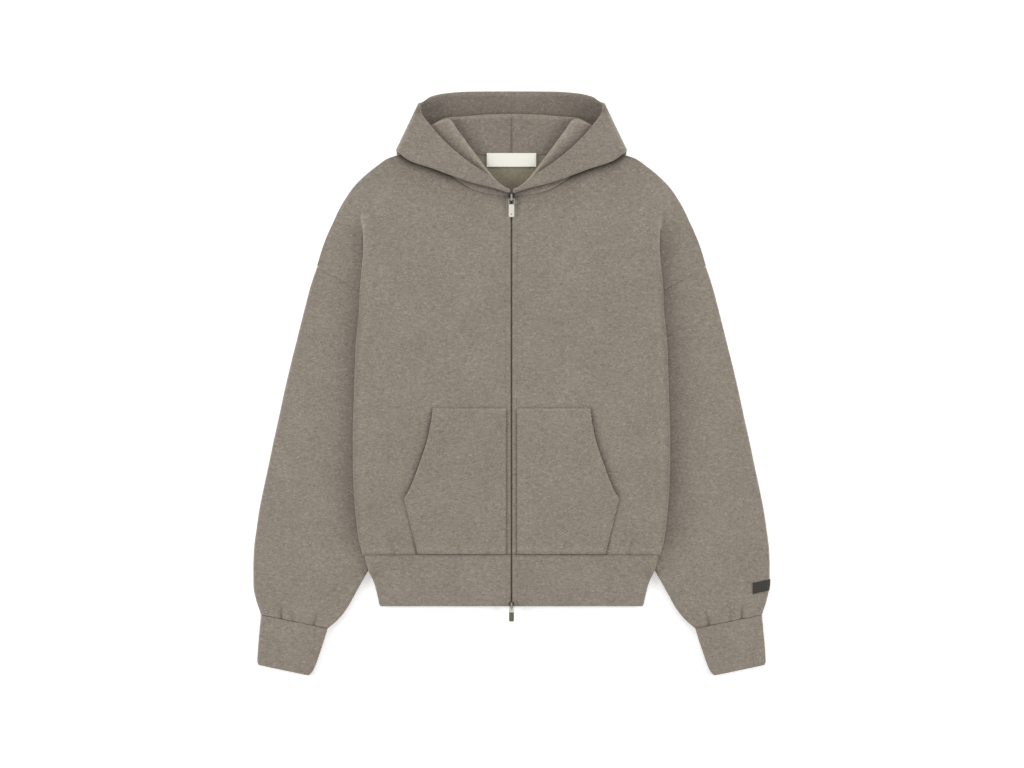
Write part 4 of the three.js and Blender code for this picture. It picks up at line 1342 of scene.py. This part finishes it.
def spaced(path: Array, pitch: float) -> tuple[Array, Array]:
    """Points at even steps along a path, and its direction at each."""
    path = np.asarray(path, float)
    chord = np.concatenate([[0], np.cumsum(np.linalg.norm(np.diff(path, axis=0), axis=1))])
    at = np.arange(pitch / 2, chord[-1], pitch)
    where = np.stack([np.interp(at, chord, path[:, k]) for k in range(3)], axis=1)
    ahead = np.stack([np.interp(at + 0.2, chord, path[:, k]) for k in range(3)], axis=1)
    behind = np.stack([np.interp(at - 0.2, chord, path[:, k]) for k in range(3)], axis=1)
    way = ahead - behind
    return where, way / np.maximum(np.linalg.norm(way, axis=1, keepdims=True), 1e-9)


@dataclass
class Sewing:
    """Lines of topstitching: beside the zip, and round the sewn edges of the pocket."""

    pitch: float = 3.2
    length: float = 2.5
    radius: float = 0.24
    pocket_in: float = 2.4
    pockets: Pockets = field(default_factory=Pockets)

    def placket(self, side: Side) -> list[Array]:
        """The line beside the zip, on the front and on the hem band."""
        front_y = np.linspace(274, HEM_SEAM + 1.5, 300)
        band_y = np.linspace(HEM_SEAM - 1.5, HEM_END + 2.5, 60)
        h = np.full(300, TOPSTITCH)
        top = front_z(side, h, front_y) + CLOTH / 2
        band = hem_high(side, h[:60], band_y) + BAND_CLOTH / 2
        return [np.stack([h, front_y, top], axis=1), np.stack([h[:60], band_y, band], axis=1)]

    def pocket(self, side: Side) -> list[Array]:
        """The lines along the pocket's top and its lower side."""
        rows = []
        top_y = np.full(80, POCKET_TOP - self.pocket_in)
        top_h = np.linspace(self.pockets.inner + 2, POCKET[0, 1] - self.pocket_in, 80)
        side_y = np.linspace(self.pockets.open_until - 6, HEM_SEAM + 2.5, 80)
        side_h = column(POCKET, 0, 1, side_y) - self.pocket_in
        for h, y in ((top_h, top_y), (side_h, side_y)):
            z, press = self.pockets.height(side, h, y, h / column(POCKET, 0, 1, y))
            rows.append(np.stack([h, y, z + CLOTH / 2 * press - 0.05], axis=1))
        return rows

    def build(self) -> None:
        """Make the stitches of each half, on the front, the band and the pocket."""
        thread = THREAD.build()
        for side in Side:
            front, band = self.placket(side)
            for node, paths in ((f"front_{side.word}", [front]), (f"hem_band_{side.word}", [band]),
                                (f"pocket_{side.word}", self.pocket(side))):
                for path in paths:
                    path[:, 0] *= side.value
                places, ways = zip(*(spaced(path, self.pitch) for path in paths))
                made = rods(f"{node}_topstitch", np.concatenate(places), np.concatenate(ways),
                            self.length, self.radius)
                dress(made, thread, "hem_band" if "hem" in node else node, stands_for=False)


@dataclass
class Zip:
    """Tapes with their coil, two sliders and two pulls."""

    tape_cut: tuple[float, float] = (0.012, 0.614)
    tape: float = 0.9
    tape_in: float = 0.9
    tape_out: float = 12.0
    coil_down: float = 0.45  # of its middle below that of the front
    pitch: float = 1.5
    broken: float = 0.3
    bridge: float = 1.5  # half width of a slider's bridge, which takes the lighter zinc as a painted highlight
    bridge_up: float = 2.2  # from its underside to the bridge

    def floor_of(self, side: Side, y: Array) -> Array:
        """Middle of the front or the band beside the zip."""
        h = np.full(len(y), 2.0)
        return np.where(y > HEM_SEAM, front_z(side, h, y), hem_high(side, h, y))

    def strip(self, side: Side, weave: Material) -> None:
        """A flat woven strip under the front's edge."""
        y = TAPE_TOP + (HEM_END + 1 - TAPE_TOP) * graded(90, 612, SEWN)
        h = self.tape_in + (self.tape_out - self.tape_in) * graded(8, 11, SEWN)
        low = self.floor_of(side, y) - BAND_CLOTH / 2 - 0.85
        grid = np.stack(np.broadcast_arrays(h[None, :] * side.value, y[:, None], low[:, None]), axis=-1)
        patch = Patch(grid, first=SEWN, last=SEWN, left=SEWN, right=SEWN)
        sew(f"zip_tape_{side.word}_woven", [patch], self.tape, weave, self.tape_cut, share=0.92)

    def coil(self, side: Side, nylon: Material) -> None:
        """Bars across the middle, those of the two tapes taking turns."""
        shift = 0 if side is Side.LEFT else self.pitch / 2
        y = np.arange(TAPE_TOP - 3 - shift, HEM_END + 6, -self.pitch)
        z = self.floor_of(side, y) - self.coil_down
        centres = np.stack([np.full(len(y), 0.55 * side.value), y, z], axis=1)
        ways = np.tile([1.0, 0.0, 0.0], (len(y), 1))
        made = rods(f"zip_coil_{side.word}", centres, ways, 2.3, 0.42, tall=1.9,
                    profile=(0.5, 1.0, 0.8, 1.0, 0.7))
        dress(made, nylon, f"zip_tape_{side.word}", stands_for=False)

    def hard(self, node: str, finishes: list[Material], body: str = BODY,
             tab_from: float | None = None) -> None:
        """A slider or pull from its solid, its edges broken by a small bevel.

        Args:
            node: the solid.
            finishes: its material, and that of a pull's tab or a slider's bridge.
            body: what it moves with.
            tab_from: Y below which a pull's faces are its tab, mm, or None for a slider.
        """
        made = solid_copy(node, f"{node}_cast")
        dress(made, finishes[0], node, body=body)
        mesh = made.data
        if tab_from is None:
            centres = face_values(mesh, "center")
            across = np.abs(centres[:, 0] / MM - OFFSET[0])
            chosen = (across < self.bridge) & (centres[:, 2] > centres[:, 2].min() + self.bridge_up * MM)
        else:
            cut = bmesh.new()
            cut.from_mesh(mesh)
            bmesh.ops.bisect_plane(cut, geom=[*cut.verts, *cut.edges, *cut.faces],
                                   plane_co=(0, tab_from * MM, 0), plane_no=(0, 1, 0))
            cut.to_mesh(mesh)
            cut.free()
            chosen = face_values(mesh, "center")[:, 1] < tab_from * MM
        paint(mesh, finishes[1], chosen)
        bevel = made.modifiers.new("broken_edges", "BEVEL")
        bevel.width, bevel.segments, bevel.limit_method = self.broken * MM, 3, "ANGLE"

    def build(self) -> None:
        """Make the whole zip."""
        weave, nylon, metal = TAPE_WEAVE.build(), COIL.build(), DARK_METAL.build()
        for side in Side:
            self.strip(side, weave)
            self.coil(side, nylon)
        glint_zinc = PAINTED_GLINT_ZINC.build()
        self.hard("upper_slider", [metal, glint_zinc])
        self.hard("lower_slider", [metal, glint_zinc])
        self.hard("upper_pull", [glint_zinc, PALE_TAB.build()], "upper_pull", 267.6)
        self.hard("lower_pull", [glint_zinc, metal], "lower_pull", -343.0)


@dataclass
class Labels:
    """A woven label at the back of the neck and one round the left sleeve's edge, both blank."""

    neck_cut: tuple[float, float] = (0.074, 0.0205)
    neck_top: float = 346.0
    neck_low: float = 325.5
    neck_half: float = 37.0
    neck_z: float = 11.6
    proud: float = 0.35
    sleeve_cut: tuple[float, float] = (0.0276, 0.0165)

    def neck(self) -> None:
        """The neck label, sewn at its two ends, a little proud between them."""
        y = self.neck_top + (self.neck_low - self.neck_top) * graded(10, 20.5, SEWN)
        x = self.neck_half * (2 * graded(30, 74, SEWN) - 1)
        z = self.neck_z + self.proud * (1 - (x / self.neck_half) ** 4)
        grid = np.stack(np.broadcast_arrays(x[None, :], y[:, None], z[None, :]), axis=-1)
        edge = SEWN / 2
        patch = Patch(grid, first=edge, last=edge, left=edge, right=edge)
        sew("neck_label_woven", [patch], 0.8, NECK_WEAVE.build(), self.neck_cut, share=0.98)
        path = np.linspace([0, 344.5, 12.1], [0, 327, 12.1], 20)
        places, ways = [], []
        for end in (-1, 1):
            where, way = spaced(path + [end * 35.3, 0, 0], 2.4)
            places.append(where)
            ways.append(way)
        made = rods("neck_label_stitches", np.concatenate(places), np.concatenate(ways), 1.8, 0.2)
        dress(made, LABEL_THREAD.build(), "neck_label", stands_for=False)

    def sleeve(self) -> None:
        """The sleeve label's solid with its weave."""
        made = solid_copy("sleeve_label", "sleeve_label_woven")
        dress(made, SLEEVE_WEAVE.build(), "sleeve_label")

    def build(self) -> None:
        """Make both labels."""
        self.neck()
        self.sleeve()


@dataclass
class Studio:
    """Pale floor, a soft low light from each of the picture's four sides, camera straight above."""

    distance: float = 3.0
    frame_width: float = 1.536
    chest: float = 0.008  # height at which the frame's width is measured
    centre: tuple[float, float] = (0.0002, -0.00065)
    ambient: float = 0.3
    glow: float = 0.24  # of the floor, which is a lit acrylic table
    floor_half: float = 4.0
    away: float = 2.4
    boxes: tuple = (
        # name, watts, size, azimuth from +X, elevation
        ("left_box", 38.0, 0.9, 180.0, 22.0),
        ("right_box", 34.0, 0.9, 0.0, 22.0),
        ("top_box", 22.0, 1.0, 90.0, 33.0),
        ("bottom_box", 15.0, 1.0, -90.0, 24.0),
    )

    def lamp(self, name: str, watts: float, size: float, azimuth: float, elevation: float) -> None:
        """A square soft box that looks at the middle of the garment."""
        a, e = np.radians(azimuth), np.radians(elevation)
        place = Vector((np.cos(a) * np.cos(e), np.sin(a) * np.cos(e), np.sin(e))) * self.away
        light = bpy.data.lights.new(name, "AREA")
        light.energy, light.size = watts, size
        made = placed(name, light)
        made.location = place
        made.rotation_euler = (-place).to_track_quat("-Z", "Y").to_euler()

    def build(self) -> None:
        """Make the floor, lights, world and camera."""
        s, low = self.floor_half, -0.5 * MM
        mesh = bpy.data.meshes.new("floor")
        mesh.from_pydata([(-s, -s, low), (s, -s, low), (s, s, low), (-s, s, low)], [], [(0, 1, 2, 3)])
        floor = placed("floor", mesh)
        made, _, shader = new_material("pale_floor")
        white = linear("#FFFFFF")
        set_values(shader, {"Base Color": white, "Roughness": 0.95, "Emission Color": white,
                            "Emission Strength": self.glow})
        floor.data.materials.append(made)
        world = bpy.data.worlds.new("studio")
        world.use_nodes = True
        set_values(world.node_tree.nodes["Background"], {"Color": white, "Strength": self.ambient})
        bpy.context.scene.world = world
        bpy.context.scene.view_settings.view_transform = "Standard"
        for box in self.boxes:
            self.lamp(*box)
        lens = bpy.data.cameras.new("camera")
        lens.sensor_width = 36.0
        lens.lens = 36.0 * self.distance / self.frame_width
        camera = placed("camera", lens)
        camera.location = (*self.centre, self.distance + self.chest)
        bpy.context.scene.camera = camera


def main() -> None:
    """Build every sub-assembly in order."""
    fleece = FLEECE.build()
    Studio().build()
    for part in (Torso(), Tubes(), HemBand(), Hood(), Pockets()):
        part.build(fleece)
    Sewing().build()
    Zip().build()
    Labels().build()


if __name__ == "__main__":
    main()
